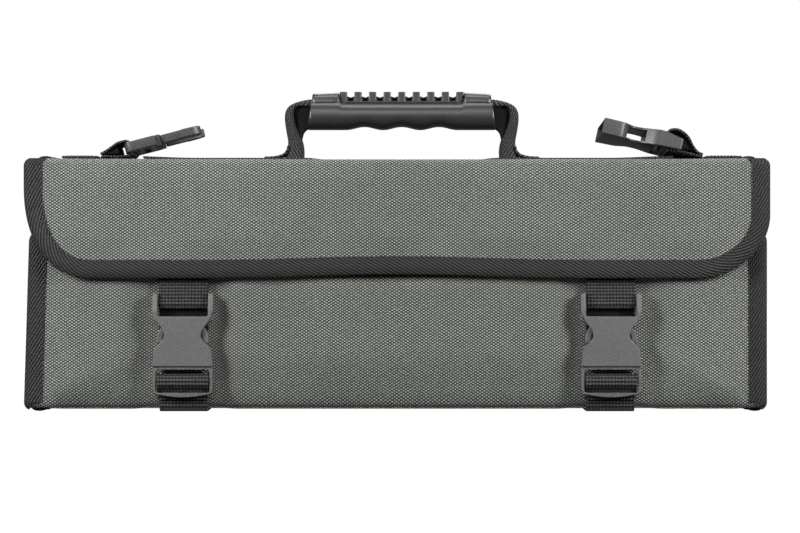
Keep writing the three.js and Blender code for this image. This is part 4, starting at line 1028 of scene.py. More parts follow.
def stitch_row(name, path, side, facing):
    """A row of sewn stitches along a path: each is a small spindle whose ends dive into the
    cloth. facing says how much of the side vector and of the outward vector points up off
    the cloth."""
    s = sizes()
    length, pitch = s.stitch_length / MM, s.stitch_pitch / MM
    course = arc_lengths(path, 0)
    count = int(course[-1] // pitch)
    middle = (np.arange(count) + 0.5) * pitch
    tangent, across, outward = frames_along(path, side)

    def at(values):
        return np.stack([np.interp(middle, course, values[:, k]) for k in range(3)], -1)

    centre, ahead = at(path), at(tangent)
    up = at(facing[0] * across + facing[1] * outward)
    wide = np.cross(up, ahead)
    n, m = STITCH_RINGS, STITCH_SIDES
    run = np.linspace(-1, 1, n)
    angle = np.linspace(0, 2 * math.pi, m, endpoint=False)
    girth = (STITCH_GIRTH * np.sqrt(np.clip(1 - run**2, 0.06, 1)))[:, None]
    lift = (0.12 - 0.42 * run**2)[:, None]
    points = (
        centre[:, None, None]
        + ahead[:, None, None] * (run * length / 2)[None, :, None, None]
        + wide[:, None, None] * (girth * np.cos(angle))[None, :, :, None]
        + up[:, None, None] * (girth * np.sin(angle) * 0.7 + lift)[None, :, :, None]
    )
    ring, point = tube_corners(n, m)
    ends = np.array([[0, 1, 2, 3], [0, 3, 4, 5]])
    one = np.concatenate([ring * m + point % m, ends, ends[:, ::-1] + (n - 1) * m])
    every = (one[None] + (np.arange(count) * n * m)[:, None, None]).reshape(-1, 4)
    return dress(make_piece(name, points.reshape(-1, 3), every), "thread")


def flap_outline(inset=0.0):
    """The flap's edge from its left top down, along the lower edge and up the right side."""
    half, low = FLAP_HIGH[0] - inset, FLAP_LOW[2] + inset
    angle = np.radians(np.linspace(0, 90, 36))
    sides = []
    for side in SIDES.values():
        wide, tall, power = FLAP_CORNERS[side]
        wide, tall = wide - inset, tall - inset
        z = np.linspace(FLAP_HIGH[2] - 0.2, low + tall, 18)
        straight = np.stack([np.full(18, half), z], -1)
        turned = np.stack([np.cos(angle), np.sin(angle)], -1) ** (2 / power)
        arc = [half - wide, low + tall] + turned * [wide, -tall]
        x = np.linspace(half - wide, 0, 50)
        rim = np.stack([x, low + flap_edge_lift(x)], -1)
        sides.append(np.concatenate([straight[:-1], arc[:-1], rim]) * [side, 1])
    return level_at(FLAP_LOW[1], np.concatenate([sides[0], sides[1][::-1][1:]]))


def front_outline(inset=0.0):
    """The front's edge from its right foot up, over the top edge and down the left side."""
    high = FRONT_HIGH[2] - inset
    radius = max(FRONT_CORNER - inset, 0.5)
    angle = np.radians(np.linspace(0, 90, 12))
    foot = FRONT_LOW[2] + 0.2 + FOOT_CORNER * (1 - np.cos(angle[2:]))
    z = np.concatenate([foot, np.linspace(foot[-1], high - radius, 26)[1:]])
    sides = []
    for side in (1, -1):
        edge = front_half(np.minimum(z, FRONT_HIGH[2] - FRONT_CORNER), side) - inset
        corner = [edge[-1] - radius, z[-1]]
        arc = corner + radius * np.stack([np.cos(angle), np.sin(angle)], -1)
        x = np.linspace(arc[-1, 0], 0, 30)
        rim = np.stack([x, np.full(30, high)], -1)
        upright = np.stack([edge, z], -1)
        sides.append(np.concatenate([upright[:-1], arc[:-1], rim]) * [side, 1])
    return level_at(FRONT_LOW[1], np.concatenate([sides[0], sides[1][::-1][1:]]))


def round_ends(points, turn_z, radius, middle, sign):
    """Draws the part of a tape beyond a height together towards the panel's middle depth,
    along a quarter circle, so that its end is round in side view."""
    beyond = np.clip(sign * (points[:, 2] - turn_z) / radius, 0, 0.97)
    points[:, 1] += (middle - points[:, 1]) * (1 - np.sqrt(1 - beyond**2))
    return points


def panel_tape(name, node, body, outline, turn_z, radius, sign):
    """Edge tape round a panel: the U section carried along the panel's edge, and one row of
    stitches near its inner edge on each face. Beyond turn_z its ends are round; sign says
    whether they are its upper or its lower ones."""
    path = outline()
    tape = carry_profile(name, path, ALONG_Y, tape_section()[:, ::-1])
    middle = path[0, 1] + PANEL / 2
    reshape(tape, lambda points: shoulder(round_ends(points, turn_z, radius, middle, sign)))
    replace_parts(dress(tape, "tape"), node)
    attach(tape, body)
    row = outline(STITCH_INSET)
    row = row[(row[:, 2] - turn_z) * sign < radius * 0.3]
    for face, depth, up in (("outer", -STITCH_LIFT, -1), ("inner", PANEL + STITCH_LIFT, 1)):
        line = shoulder(row + [0, depth, 0])
        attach(stitch_row(f"{name}_stitches_{face}", line, ALONG_Y, (up, 0)), body)


def flap_tape():
    """The flap's edge tape, with round ends at the fold."""
    turn_z = FLAP_HIGH[2] - 4.4
    panel_tape("flap_tape", "flap_binding", "flap", flap_outline, turn_z, 5.0, 1)


def front_tape():
    """The front panel's edge tape, with round ends at its foot."""
    turn_z = FRONT_LOW[2] + 3.6
    panel_tape("front_tape", "front_binding", "front", front_outline, turn_z, 4.6, -1)


def case_tape(name):
    """Edge tape down one side of the case: the U section carried along the C profile."""
    side = SIDES[name]
    outline = shell_path(0.0)
    x = side * CASE_HIGH[0]
    section = tape_section() * [-side, 1]
    tape = carry_profile(f"{name}_side_tape", upright_at(x, outline), ALONG_X, section)
    reshape(tape, shoulder)
    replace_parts(dress(tape, "tape"), f"case_binding_{name}")
    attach(tape, "case")
    normal = side_normals(outline)
    for face, depth, up in (("outer", STITCH_LIFT, -1), ("inner", -PANEL - STITCH_LIFT, 1)):
        row = upright_at(x - side * STITCH_INSET, outline + normal * depth)
        line = shoulder(row[2:-2])
        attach(stitch_row(f"{name}_side_stitches_{face}", line, ALONG_X, (0, up)), "case")


# Straps


def buckle_strap(side):
    """The strap from under the flap to the buckle: down, round the frame's bar and up again, sewn
    to itself."""
    x = SIDES[side] * BUCKLE_X
    down = [[-17.85, 123], [-17.85, 104], [-17.9, 90], [-18.2, 84.5], [-19.6, 79], [-21.3, 73]]
    round_bar = turn((BUCKLE_BACK_Y - 1.6, BUCKLE_MOUTH_Z + 39.0), 2.75, 150, 390, 18)
    back = [[-16.7, 72.5], [-17.0, 76.5], [-17.15, 79.5]]
    path = smooth_path(upright_at(x, np.concatenate([down, round_bar, back])), 110)
    piece = lay_strap(f"{side}_buckle_strap", path, ALONG_X)
    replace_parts(dress(piece, "webbing"), f"{side}_flap_strap", f"{side}_hanging_strap")
    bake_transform(piece)


# Course of the strap round the ladder bar, as depth and height from the bar's centre
LADDER_COURSE = np.array([
    [3.6, -12.2], [3.5, -8], [3.3, -3], [2.6, 1.8], [0.6, 3.4], [-1.7, 2.6], [-3.1, 0.4],
    [-3.0, -2.6], [-1.2, -4.6], [1.0, -6.4], [1.5, -9.5],
])


def ladder_strap(side):
    """The strap's turn round the buckle's ladder bar: up behind the frame, over the bar's
    front and down again."""
    bar = [BUCKLE_BACK_Y - 4.7, BUCKLE_MOUTH_Z - 0.3 - 8.4]
    path = smooth_path(upright_at(SIDES[side] * BUCKLE_X, bar + LADDER_COURSE), 70)
    piece = lay_strap(f"{side}_ladder_webbing", path, ALONG_X, WEBBING + 1.8, 1.2)
    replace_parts(dress(piece, "webbing"), f"{side}_ladder_strap")
    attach(piece, f"{side}_buckle")


def strap_tail(side):
    """The strap's cut end behind the buckle's housing, in the near-black lining cloth: painted
    shade in the slot between the housing and the cover.
    """
    low, high = node_box(f"{side}_strap_tail")
    course = np.stack([np.full(12, (low[1] + high[1]) / 2), np.linspace(high[2], low[2], 12)], -1)
    path = upright_at(SIDES[side] * BUCKLE_X, course)
    piece = lay_strap(f"{side}_cut_end_painted_shade", path, ALONG_X)
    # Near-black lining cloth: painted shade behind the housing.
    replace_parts(dress(piece, "lining"), f"{side}_strap_tail")
    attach(piece, f"{side}_buckle")


def lower_strap(side):
    """The strap below the buckle: down the front, under the case and a little up its back."""
    x = SIDES[side] * BUCKLE_X
    high = node_box(f"{side}_base_strap")[1]
    front = FRONT_LOW[1] - SEAM_GAP - WEBBING_THICK / 2
    under = WEBBING_THICK / 2 + 0.02
    rear = high[1] - WEBBING_THICK / 2
    top = node_box(f"{side}_front_strap")[1][2] + 3.0
    course = np.concatenate([
        [[front, top], [front, 8.0]],
        turn((front + 2.6, under + 2.6), 2.6, 180, 270, 6),
        [[-8.0, under], [5.0, under], [rear - 9, under + 0.1]],
        turn((rear - 8.0, under + 8.0), 8.0, 285, 360, 8),
        [[rear, 20.0], [rear, high[2]]],
    ])
    path = smooth_path(upright_at(x, course), 120)
    piece = lay_strap(f"{side}_lower_strap", path, ALONG_X, thick=1.4)
    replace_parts(dress(piece, "webbing"), f"{side}_front_strap", f"{side}_base_strap")
    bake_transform(piece)


def high_deck():
    """The height of the top of the webbing that lies on the case."""
    return node_box("left_tab_base")[1][2]


def grip_centre():
    """The middle of the grip, which the handle is built about."""
    low, high = node_box("grip_shell")
    return (low + high) / 2


def handle_pivot():
    """The height of the axis that the handle swings about."""
    return node_box("handle_strap")[0][2] + HANDLE_PIVOT


def top_strap():
    """The webbing along the top, which sags with it, and the handle's sewn feet on it."""
    low, high = node_box("top_webbing")
    deck = high_deck()
    x = np.linspace(low[0] - 20.0, high[0] + 56.0, 90)
    course = np.stack([x, deck - WEBBING_THICK / 2 + 0.05 - top_sag(x)], -1)
    path = level_at(TOP_CENTRE_Y, course)
    piece = lay_strap("top_strap", path, ALONG_Y)
    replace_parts(dress(piece, "webbing"), "top_webbing")
    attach(piece, "case")
    for (name, side), corner in zip(SIDES.items(), node_box("handle_strap")):
        foot = corner[0]
        course = np.array([
            [foot + side * 13, deck - 0.9], [foot + side * 6.2, deck - 0.5],
            [foot + side * 0.9, deck + 1.1], [foot - side * 1.6, deck + 4.0],
            [foot - side * 2.1, deck + 6.5],
        ])
        path = smooth_path(level_at(TOP_CENTRE_Y, course), 26)
        flare = lay_strap(f"{name}_handle_foot", path, ALONG_Y, 17.0, 1.6)
        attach(dress(flare, "folded"), "case")


# Handle

# The handle's leg as a frame of pairs: the band's outer edge and its inner edge, each as a
# distance out from the grip's middle and a height over the pivot.
BAND = np.array([
    [[74.8, -8.4], [62.0, -8.4]], [[73.2, -3.8], [61.9, -3.6]], [[72.6, -0.9], [62.2, -0.4]],
    [[72.3, 2.8], [63.0, 3.0]], [[73.2, 8.0], [65.3, 8.0]], [[74.0, 13.0], [67.0, 12.6]],
    [[74.4, 17.5], [68.0, 17.0]], [[73.9, 21.5], [68.5, 20.3]], [[71.9, 24.9], [68.0, 22.7]],
    [[68.3, 27.1], [66.3, 24.2]], [[64.0, 28.5], [63.6, 24.5]], [[60.0, 29.3], [60.5, 24.2]],
    [[56.0, 29.5], [56.0, 24.0]], [[50.0, 28.4], [50.0, 23.5]], [[44.0, 27.0], [44.0, 22.5]],
])
# The near-black filling between the band and the grip's end, painted shade in the bend, given in
# the same way.
BEND_SHADE = np.array([
    [[64.2, 2.0], [63.6, 2.0]], [[65.4, 6.0], [62.9, 6.0]], [[66.4, 8.5], [61.9, 8.6]],
    [[67.0, 10.3], [60.0, 10.4]], [[67.5, 12.5], [57.5, 11.6]], [[68.3, 16.0], [56.2, 15.0]],
    [[68.9, 20.0], [56.0, 19.0]], [[68.4, 23.2], [55.8, 22.0]], [[65.0, 25.4], [55.6, 24.6]],
])
# The grip's end from its deepest ring outwards: shares of its depth and height, and how far in
GRIP_END = (
    (0.5, 0.5, 12), (0.72, 0.72, 9), (0.75, 0.76, 1.5), (0.8, 0.82, 0.3), (0.9, 0.9, 0.0),
    (0.97, 0.97, 0.2), (1.0, 1.0, 0.9),
)
# The collar round the grip's end: distance out from the grip's middle, and share of its girth
COLLAR = np.array([
    [39.6, 0.86], [39.9, 0.96], [40.6, 1.0], [46.0, 1.0], [53.5, 1.0], [56.0, 0.98],
    [56.6, 0.92], [56.8, 0.8],
])


def edge_body(name, pairs, side, half_depth, power, slant=0.0):
    """A body between two edges: each ring is a rounded box from one edge's point to the
    other's. The cloth's rows lean by slant where the body is upright and less at its end."""
    centre = grip_centre()[0]
    outer, inner = (smooth_path(pairs[:, k], 120) + [0, handle_pivot()] for k in (0, 1))
    angle = np.radians(np.linspace(0, 360, 49)[:-1] - 90)
    across = squared(np.sin(angle), power)
    deep = -squared(np.cos(angle), power)
    plane = (outer + inner)[:, None] / 2 + (outer - inner)[:, None] / 2 * across[None, :, None]
    depth = np.broadcast_to(TOP_CENTRE_Y + half_depth * deep, plane.shape[:2])
    rings = np.stack([centre + side * plane[..., 0], depth, plane[..., 1]], -1)
    closed = np.concatenate([rings, rings[:, :1]], axis=1)
    around = arc_lengths(closed, 1)
    along = arc_lengths((rings[:, :1] + rings[:, 24:25]) / 2, 0)
    lean = slant * (1 - smooth(along, 0.62 * along[-1, 0], 0.85 * along[-1, 0]))
    uv = np.stack([around, along + lean * (around - around[:, 12:13])], -1)
    return ring_tube(name, rings, uv, sharp=FOLD_SHARP)


def handle_webbing():
    """The handle's two legs of folded webbing, with a near-black filling in their bends as painted
    shade. The sewn feet stay on the case."""
    for name, side in SIDES.items():
        band = edge_body(f"{name}_handle_band", BAND, side, 8.0, 3.2, slant=-1.3)
        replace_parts(dress(band, "folded"), "handle_strap")
        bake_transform(band)
        # Near-black lining cloth: painted shade in the bend.
        filling = edge_body(f"{name}_handle_bend_shade", BEND_SHADE, side, 5.2, 4.0)
        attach(dress(filling, "lining"), "handle")


def grip_heights():
    """Heights of the grip's underside, its middle and its flat top."""
    bottom = node_box("grip_shell")[0][2]
    return bottom, bottom + GRIP_HEIGHT / 2, bottom + GRIP_HEIGHT


def grip_section():
    """Depth and height shares of the points round the grip's superelliptic section."""
    angle = np.linspace(0, 2 * math.pi, GRIP_SIDES, endpoint=False)
    return squared(np.cos(angle), GRIP_POWER), squared(np.sin(angle), GRIP_POWER)


def grip_body():
    """The moulded grip: rings of a rounded box section carried along X. The top rises in a
    collar at each end, the underside has three finger grooves, and each end turns inwards
    into the socket for the webbing."""
    low, high = node_box("grip_shell")
    centre = grip_centre()
    half_low = (high[0] - low[0]) / 2
    half_top = half_low - 3.0
    bottom, mid, flat_top = grip_heights()
    cy, cz = grip_section()

    def ring(x, size_y=1.0, size_z=1.0, sink=0.0):
        top = flat_top + COLLAR_RISE * float(smooth(abs(x), 37.5, 39.5))
        groove = 0.0
        if abs(x) < 1.5 * GROOVE_PITCH:
            groove = GROOVE_DEPTH * (1 + math.cos(2 * math.pi * x / GROOVE_PITCH)) / 2
        depth = GRIP_HALF_DEPTH * (1 - 0.05 * (abs(x) / half_top) ** 2)
        z_mid = mid + (0.0 if size_z == 1.0 else 1.0)
        room = np.where(cz > 0, (top - z_mid) * cz, (z_mid - (bottom + groove)) * cz)
        z = z_mid + room * size_z
        below = np.clip((flat_top - z) / (flat_top - bottom), -0.3, 1)
        slant = 1 + (half_low / half_top - 1) * below
        across = centre[0] + (x - math.copysign(sink, x)) * slant
        return np.stack([across, centre[1] + depth * cy * size_y, z], -1)

    side = np.concatenate([np.linspace(-half_top + 2, -41, 12), np.linspace(-40.6, -39.6, 5)])
    spots = np.concatenate([side, np.linspace(-39, 39, 91), -side[::-1]])
    left = [ring(-half_top, *end) for end in GRIP_END]
    right = [ring(half_top, *end) for end in GRIP_END[::-1]]
    rings = np.array(left + [ring(x) for x in spots] + right)
    piece = ring_tube("grip_body", rings, flat_ends=False, sharp=ROUND_SHARP)
    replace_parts(dress(piece, "grip"), "grip_shell")
    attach(piece, "handle")


def grip_collars():
    """The low collar on the grip's top at each end."""
    centre, flat_top = grip_centre(), grip_heights()[2]
    cy, cz = grip_section()
    run, girth = COLLAR[:, 0], COLLAR[:, 1:]
    top = node_box("grip_shell")[1][2] + 1.5 - 0.045 * (run - run[0])
    crest = (top - flat_top + 0.8)[:, None]
    for name, side in SIDES.items():
        rings = np.stack([
            np.broadcast_to((centre[0] + side * run)[:, None], (len(run), GRIP_SIDES)),
            centre[1] + 9.2 * girth * cy,
            flat_top - 0.8 + crest * np.clip(cz, 0, 1) * girth - 3 * np.clip(-cz, 0, 1),
        ], -1)
        collar = ring_tube(f"{name}_grip_collar", rings, flat_ends=False, sharp=ROUND_SHARP)
        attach(dress(collar, "grip"), "handle")


def grip_groove_shade():
    """A near-black strip along the grip's front, under its flat top: painted shade of its groove.
    """
    centre, (_, mid, flat_top) = grip_centre(), grip_heights()
    x = np.concatenate([[-36.8, -36.5, -35.6], np.linspace(-34, 34, 40), [35.6, 36.5, 36.8]])
    z = flat_top - 1.3 + np.array([2.4, 1.2, 0.3] + [0.0] * 40 + [0.3, 1.2, 2.4])
    rise = np.clip((z - mid) / (flat_top - mid), 0, 0.97)
    bulge = (1 - rise**GRIP_POWER) ** (1 / GRIP_POWER)
    path = np.stack([centre[0] + x, centre[1] - GRIP_HALF_DEPTH * bulge, z], -1)
    groove = carry_profile("grip_groove_shade", path, ALONG_Z, ribbon_profile(0.9, 0.5, 4))
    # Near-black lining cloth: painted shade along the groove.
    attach(dress(groove, "lining"), "handle")


# Moulded parts


def moulded_copy(node, body, kind, round_mm):
    """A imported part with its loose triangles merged, flat faces joined and edges rounded."""
    name = f"{node}_moulding"
    mesh = frame["nodes"][node].data.copy()
    work = bmesh.new()
    work.from_mesh(mesh)
    bmesh.ops.remove_doubles(work, verts=work.verts, dist=MERGE_DISTANCE)
    flat = math.radians(FLAT_ANGLE)
    bmesh.ops.dissolve_limit(work, angle_limit=flat, verts=work.verts, edges=work.edges)
    work.to_mesh(mesh)
    work.free()
    mesh.name = name
    piece = bpy.data.objects.new(name, mesh)
    bpy.context.scene.collection.objects.link(piece)
    mesh.shade_smooth()
    mesh.set_sharp_from_angle(angle=math.radians(MOULDED_SHARP))
    bevel = piece.modifiers.new("Rounded edges", "BEVEL")
    bevel.width = round_mm * MM
    bevel.segments = 2
    bevel.limit_method = "ANGLE"
    bevel.angle_limit = math.radians(MOULDED_SHARP)
    bevel.harden_normals = True
    even = piece.modifiers.new("Even shading", "WEIGHTED_NORMAL")
    even.keep_sharp = True
    dress(piece, kind)
    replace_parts(piece, node)
    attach(piece, body)


# Shoulder-strap tabs

# The tab's webbing from its sewn end: distance along the tab and height, over the buckle's bar,
# round it (centre, radius, start, stop and count of an arc) and back underneath.
TAB_COURSE = {
    "left": (
        [[0.5, 0.9], [4.0, 1.7], [8.5, 3.2], [12.5, 4.6]],
        ((16.5, 0.0), 4.76, 95, -110, 14),
        [[11.0, -3.9], [7.0, -2.7], [3.5, -1.5], [0.5, -0.8]],
    ),
    "right": (
        [[0.5, 0.7], [4.0, 1.2], [7.8, 3.9], [11.0, 7.6], [15.0, 10.2], [19.5, 11.3],
         [23.6, 10.0], [25.6, 6.6], [25.6, 3.0]],
        ((22.0, 0.0), 2.85, 10, -110, 12),
        [[16.0, -2.3], [9.0, -1.7], [4.0, -1.2], [0.5, -0.8]],
    ),
}
# The folded end sewn between a tab's two layers, drawn near-black as painted shade inside the loop:
# distance along the tab, top and underside
TAB_SHADE_FILLING = {
    "left": [[1.5, 0.6, -0.4], [4.0, 1.1, -1.0], [7.0, 2.1, -2.0], [9.5, 3.0, -2.8],
             [11.8, 3.7, -3.4]],
    "right": [[1.5, 0.4, -0.4], [4.0, 0.7, -0.5], [7.0, 2.4, -0.8], [10.0, 5.6, -1.0],
              [13.0, 8.2, -1.3], [15.0, 9.3, -1.5]],
}


def tab_transform(points, side):
    """Local tab coordinates (x from the root along the tab, y across, z up) to the case's:
    rolled about the tab's length, pitched up from its root, then moved to the root."""
    pitch, roll, root = TAB_PLACE[side]
    a, b = math.radians(roll), math.radians(pitch)
    x, y, z = points[..., 0], points[..., 1], points[..., 2]
    y, z = y * math.cos(a) + z * math.sin(a), z * math.cos(a) - y * math.sin(a)
    x, z = x * math.cos(b) - z * math.sin(b), z * math.cos(b) + x * math.sin(b)
    if side == "right":
        x = -x
    return np.stack([x + root, y + TOP_CENTRE_Y, z + high_deck() + 0.15], -1)


def tab_loop(side):
    """The tab's webbing: flat on the top, up round the buckle's bar and back under itself.
    The roll grows along it from nothing at its sewn end."""
    upper, around, lower = TAB_COURSE[side]
    course = np.concatenate([upper, turn(*around), lower])
    local = smooth_path(level_at(0.0, course), 110)
    rings = carried_rings(local, ALONG_Y, ribbon_profile(TAB_WEBBING, STRAP_DRAWN))
    free = 1 - smooth(rings[..., 0], 0, 14)
    roll = math.radians(TAB_PLACE[side][1])
    rings[..., 2] += rings[..., 1] * math.sin(roll) * free
    loop = ring_tube(f"{side}_tab_webbing", tab_transform(rings, side))
    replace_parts(dress(loop, "webbing"), f"{side}_tab_loop")
    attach(loop, f"{side}_tab")


def tab_shade_filling(side):
    """The folded end between the tab's two layers, in the near-black lining cloth: painted shade
    inside the loop.
    """
    turns = np.linspace(0, 2 * math.pi, 32, endpoint=False) - math.pi / 2
    box = squared(np.stack([np.cos(turns), np.sin(turns)], -1), 4)
    edge = np.array(TAB_SHADE_FILLING[side])
    middle, half = edge[:, 1:].mean(1), (edge[:, 1] - edge[:, 2]) / 2
    rings = np.stack([
        np.broadcast_to(edge[:, :1], (len(edge), 32)),
        np.broadcast_to(15.0 * box[:, 0], (len(edge), 32)),
        middle[:, None] + half[:, None] * box[:, 1],
    ], -1)
    filling = ring_tube(f"{side}_tab_shade_filling", tab_transform(rings, side))
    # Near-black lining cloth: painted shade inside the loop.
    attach(dress(filling, "lining"), f"{side}_tab")


def tab_sewn_end(side):
    """The tab's end on the case, sewn down with three rows of stitches."""
    low, high = node_box(f"{side}_tab_base")
    x = np.linspace(low[0], high[0], 20)
    path = level_at(TOP_CENTRE_Y, np.stack([x, np.full(20, (low[2] + high[2]) / 2)], -1))
    base = lay_strap(f"{side}_tab_sewn_end", path, ALONG_Y, TAB_WEBBING)
    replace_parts(dress(base, "webbing"), f"{side}_tab_base")
    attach(base, "case")
    for k, offset in enumerate((-14.0, 0.0, 14.0)):
        line = np.stack([x[2:-2], np.full(16, high[2] + 0.05)], -1)
        seam = level_at(TOP_CENTRE_Y + offset, line)
        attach(stitch_row(f"{side}_tab_stitches_{k + 1}", seam, ALONG_Y, (0, -1)), "case")


# Stage, in metres

CAMERA_X = 0.0019
CAMERA_Z = 0.0912
CAMERA_LENS, CAMERA_SENSOR = 100.0, 36.0  # millimetres, as Blender has them
FRAME_WIDTH = 0.5  # seen across the picture at the flap
WORLD_LIGHT = 0.04  # of the white background, on the case
FLOOR_HALF = 4.0
FLOOR_GLOW = 1.08  # the white that the camera sees
FLOOR_SEEN = 0.92  # share of that white under the case
WHITE = (1, 1, 1, 1)
# Name, place, target, width, height and power in watts of each lamp
LAMPS = (
    ("left lamp", (-0.80, -0.52, 0.42), (0, 0, 0.09), 0.22, 0.36, 10.6),
    ("right lamp", (0.80, -0.52, 0.42), (0, 0, 0.09), 0.22, 0.36, 10.2),
    ("front lamp", (-0.1, -2.0, 0.95), (0, 0, 0.09), 1.0, 0.5, 11.0),
    ("top lamp", (0.0, -0.2, 1.7), (0, 0, 0.1), 1.6, 0.5, 16.0),
    ("back lamp", (0.4, 1.6, 1.4), (0, 0, 0.1), 1.6, 1.0, 30.0),
)


def add_object(name, data):
    thing = bpy.data.objects.new(name, data)
    bpy.context.scene.collection.objects.link(thing)
    return thing


def floor():
    """A floor that lights the case like grey paper, while the camera sees it as white: nearly
    so under the case, and fully so farther away."""
    material, n = start_material("Pale floor")
    paper = n.add("ShaderNodeBsdfPrincipled", {
        "Base Color": opaque(finish().floor_colour), "Roughness": 0.9, "Specular IOR Level": 0.0,
    })
    glow = n.add("ShaderNodeEmission", {"Color": WHITE, "Strength": FLOOR_GLOW})
    place = n.add("ShaderNodeSeparateXYZ", {0: n.object_place()}).outputs
    square = n.math("MULTIPLY", place[0], place[0])
    away = n.math("SQRT", n.math("MULTIPLY_ADD", place[1], place[1], square))
    share = n.math("MULTIPLY_ADD", n.band(away, 0.35, 0.95), 1.0 - FLOOR_SEEN, FLOOR_SEEN)
    camera_ray = n.add("ShaderNodeLightPath").outputs["Is Camera Ray"]
    seen = n.math("MULTIPLY", camera_ray, share)
    both = n.add("ShaderNodeMixShader", {0: seen, 1: paper.outputs[0], 2: glow.outputs[0]})
    n.add("ShaderNodeOutputMaterial", {"Surface": both.outputs[0]})
    mesh = bpy.data.meshes.new("floor")
    h = FLOOR_HALF
    mesh.from_pydata([(-h, -h, 0), (-h, h, 0), (h, -h, 0), (h, h, 0)], [], [(0, 2, 3, 1)])
    mesh.materials.append(material)
    add_object("floor", mesh)


def world():
    """White where it is seen, and a faint light elsewhere."""
    studio = bpy.data.worlds.new("Studio")
    studio.use_nodes = True
    studio.node_tree.nodes.clear()
    bpy.context.scene.world = studio
    n = Nodes(studio.node_tree)
    path = n.add("ShaderNodeLightPath").outputs
    seen = n.math("MAXIMUM", path["Is Camera Ray"], path["Is Transmission Ray"])
    strength = n.math("MULTIPLY_ADD", seen, 1.0 - WORLD_LIGHT, WORLD_LIGHT)
    background = n.add("ShaderNodeBackground", {"Color": WHITE, "Strength": strength})
    n.add("ShaderNodeOutputWorld", {"Surface": background.outputs[0]})


def lamps():
    """Soft lamps, each turned so that its -Z points at its target."""
    for name, place, target, width, height, power in LAMPS:
        lamp = bpy.data.lights.new(name, "AREA")
        lamp.shape = "RECTANGLE"
        lamp.size, lamp.size_y, lamp.energy = width, height, power
        holder = add_object(name, lamp)
        holder.location = place
        direction = np.array(target) - np.array(place)
        x, y, z = direction / np.linalg.norm(direction)
        holder.rotation_euler = (math.acos(-z), 0.0, math.atan2(-x, y))


def camera():
    """The camera at the photograph's angle, level and square to the flap."""
    viewer = add_object("camera", bpy.data.cameras.new("camera"))
    bpy.context.scene.camera = viewer
    viewer.data.lens, viewer.data.sensor_width = CAMERA_LENS, CAMERA_SENSOR
    viewer.data.clip_start, viewer.data.clip_end = 0.05, 20.0
    distance = FRAME_WIDTH * CAMERA_LENS / CAMERA_SENSOR
    viewer.location = (CAMERA_X, FLAP_LOW[1] * MM - distance, CAMERA_Z)
    viewer.rotation_euler = (math.radians(90), 0, 0)


# Operators


class KNIFECASE_OT_panels(bpy.types.Operator):
    """Build the cloth of the flap, the front and the case's top, back and bottom"""

    bl_idname = "knifecase.panels"
    bl_label = "Build panels"

    def execute(self, context):
        flap_cloth()
        front_cloth()
        case_cloth()
        return {"FINISHED"}


class KNIFECASE_OT_linings(bpy.types.Operator):
    """Build the inside cloth, the blade pockets and the handle bands"""

    bl_idname = "knifecase.linings"
    bl_label = "Build linings"

    def execute(self, context):
        flap_lining()
        front_lining()
        case_lining()
        hinge_lining()
        knife_pockets()
        handle_bands()
        return {"FINISHED"}


class KNIFECASE_OT_edge_tape(bpy.types.Operator):
    """Sew the edge tape round the flap, the front and both sides of the case"""

    bl_idname = "knifecase.edge_tape"
    bl_label = "Build edge tape"

    def execute(self, context):
        flap_tape()
        front_tape()
        case_tape("left")
        case_tape("right")
        return {"FINISHED"}


class KNIFECASE_OT_straps(bpy.types.Operator):
    """Lay the webbing of the buckles, the top and the shoulder-strap tabs"""

    bl_idname = "knifecase.straps"
    bl_label = "Build straps"

    def execute(self, context):
        for side in SIDES:
            for build in (buckle_strap, strap_tail, ladder_strap, lower_strap):
                build(side)
            for build in (tab_loop, tab_shade_filling, tab_sewn_end):
                build(side)
        top_strap()
        return {"FINISHED"}


class KNIFECASE_OT_buckles(bpy.types.Operator):
    """Finish the moulded buckle parts with rounded edges and a fine grain"""

    bl_idname = "knifecase.buckles"
    bl_label = "Finish buckles"

    def execute(self, context):
        for side in SIDES:
            body = f"{side}_buckle"
            moulded_copy(f"{side}_housing", body, "buckle", 0.45)
            moulded_copy(f"{side}_plug", body, "buckle", 0.4)
            for arm in SIDES:
                moulded_copy(f"{side}_arm_{arm}", f"{body}_arm_{arm}", "buckle", 0.5)
        moulded_copy("left_tab_plug", "left_tab", "tab", 0.5)
        moulded_copy("left_tab_arm_front", "left_tab_front_arm", "tab", 0.6)
        moulded_copy("left_tab_arm_back", "left_tab_back_arm", "tab", 0.6)
        moulded_copy("right_tab_housing", "right_tab", "tab", 0.55)
        return {"FINISHED"}


class KNIFECASE_OT_handle(bpy.types.Operator):
    """Build the folded webbing handle with its moulded grip and ribbed insert"""

    bl_idname = "knifecase.handle"
    bl_label = "Build handle"

    def execute(self, context):
        for build in (handle_webbing, grip_body, grip_collars, grip_groove_shade):
            build()
        moulded_copy("grip_insert", "handle", "grip", 0.35)
        return {"FINISHED"}


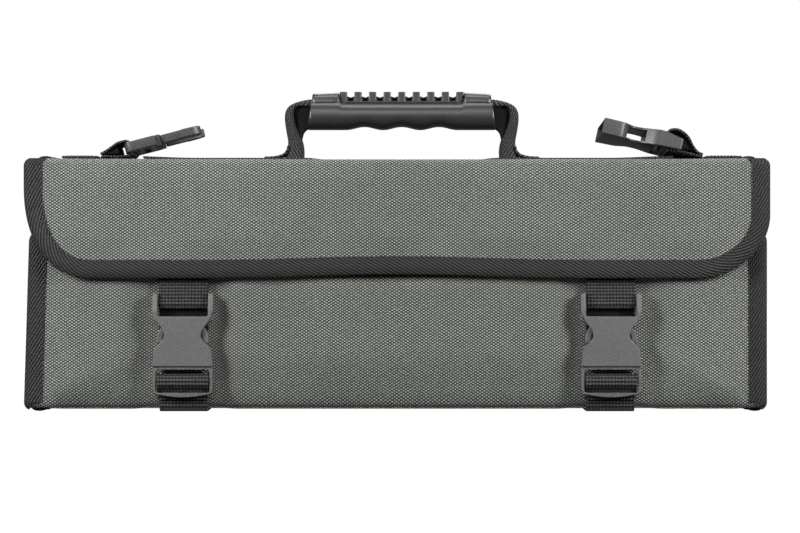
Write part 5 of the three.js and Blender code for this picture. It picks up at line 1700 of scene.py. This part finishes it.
class KNIFECASE_OT_boards(bpy.types.Operator):
    """Finish the stiffening boards inside the panels"""

    bl_idname = "knifecase.boards"
    bl_label = "Finish boards"

    def execute(self, context):
        for node in ("back_board", "bottom_board", "flap_board", "front_board"):
            board = frame["nodes"][node]
            board.data.materials.clear()
            board.data.materials.append(material_of("board"))
        return {"FINISHED"}


class KNIFECASE_OT_stage(bpy.types.Operator):
    """Set the pale floor, the soft lamps and the camera"""

    bl_idname = "knifecase.stage"
    bl_label = "Build stage"

    def execute(self, context):
        for build in (floor, world, lamps, camera):
            build()
        return {"FINISHED"}


class KNIFECASE_PT_panel(bpy.types.Panel):
    """Sizes, colours and steps of the knife case"""

    bl_idname = "KNIFECASE_PT_panel"
    bl_label = "Knife case"
    bl_space_type = "VIEW_3D"
    bl_region_type = "UI"
    bl_category = "Knife Case"

    def draw(self, context):
        layout = self.layout
        for group in (context.scene.knife_case_sizes, context.scene.knife_case_finish):
            for name in group.__annotations__:
                layout.prop(group, name)
        for step in STEPS:
            layout.operator(step.bl_idname)


STEPS = (
    KNIFECASE_OT_stage,
    KNIFECASE_OT_panels,
    KNIFECASE_OT_linings,
    KNIFECASE_OT_edge_tape,
    KNIFECASE_OT_straps,
    KNIFECASE_OT_buckles,
    KNIFECASE_OT_handle,
    KNIFECASE_OT_boards,
)
CLASSES = (KnifeCaseSizes, KnifeCaseFinish, *STEPS, KNIFECASE_PT_panel)


def register():
    for kind in CLASSES:
        bpy.utils.register_class(kind)
    bpy.types.Scene.knife_case_sizes = bpy.props.PointerProperty(type=KnifeCaseSizes)
    bpy.types.Scene.knife_case_finish = bpy.props.PointerProperty(type=KnifeCaseFinish)


def unregister():
    del bpy.types.Scene.knife_case_finish
    del bpy.types.Scene.knife_case_sizes
    for kind in reversed(CLASSES):
        bpy.utils.unregister_class(kind)


def main():
    register()
    bpy.context.scene.view_settings.view_transform = "Standard"
    for step in STEPS:
        group, name = step.bl_idname.split(".")
        getattr(getattr(bpy.ops, group), name)()


if __name__ == "__main__":
    main()
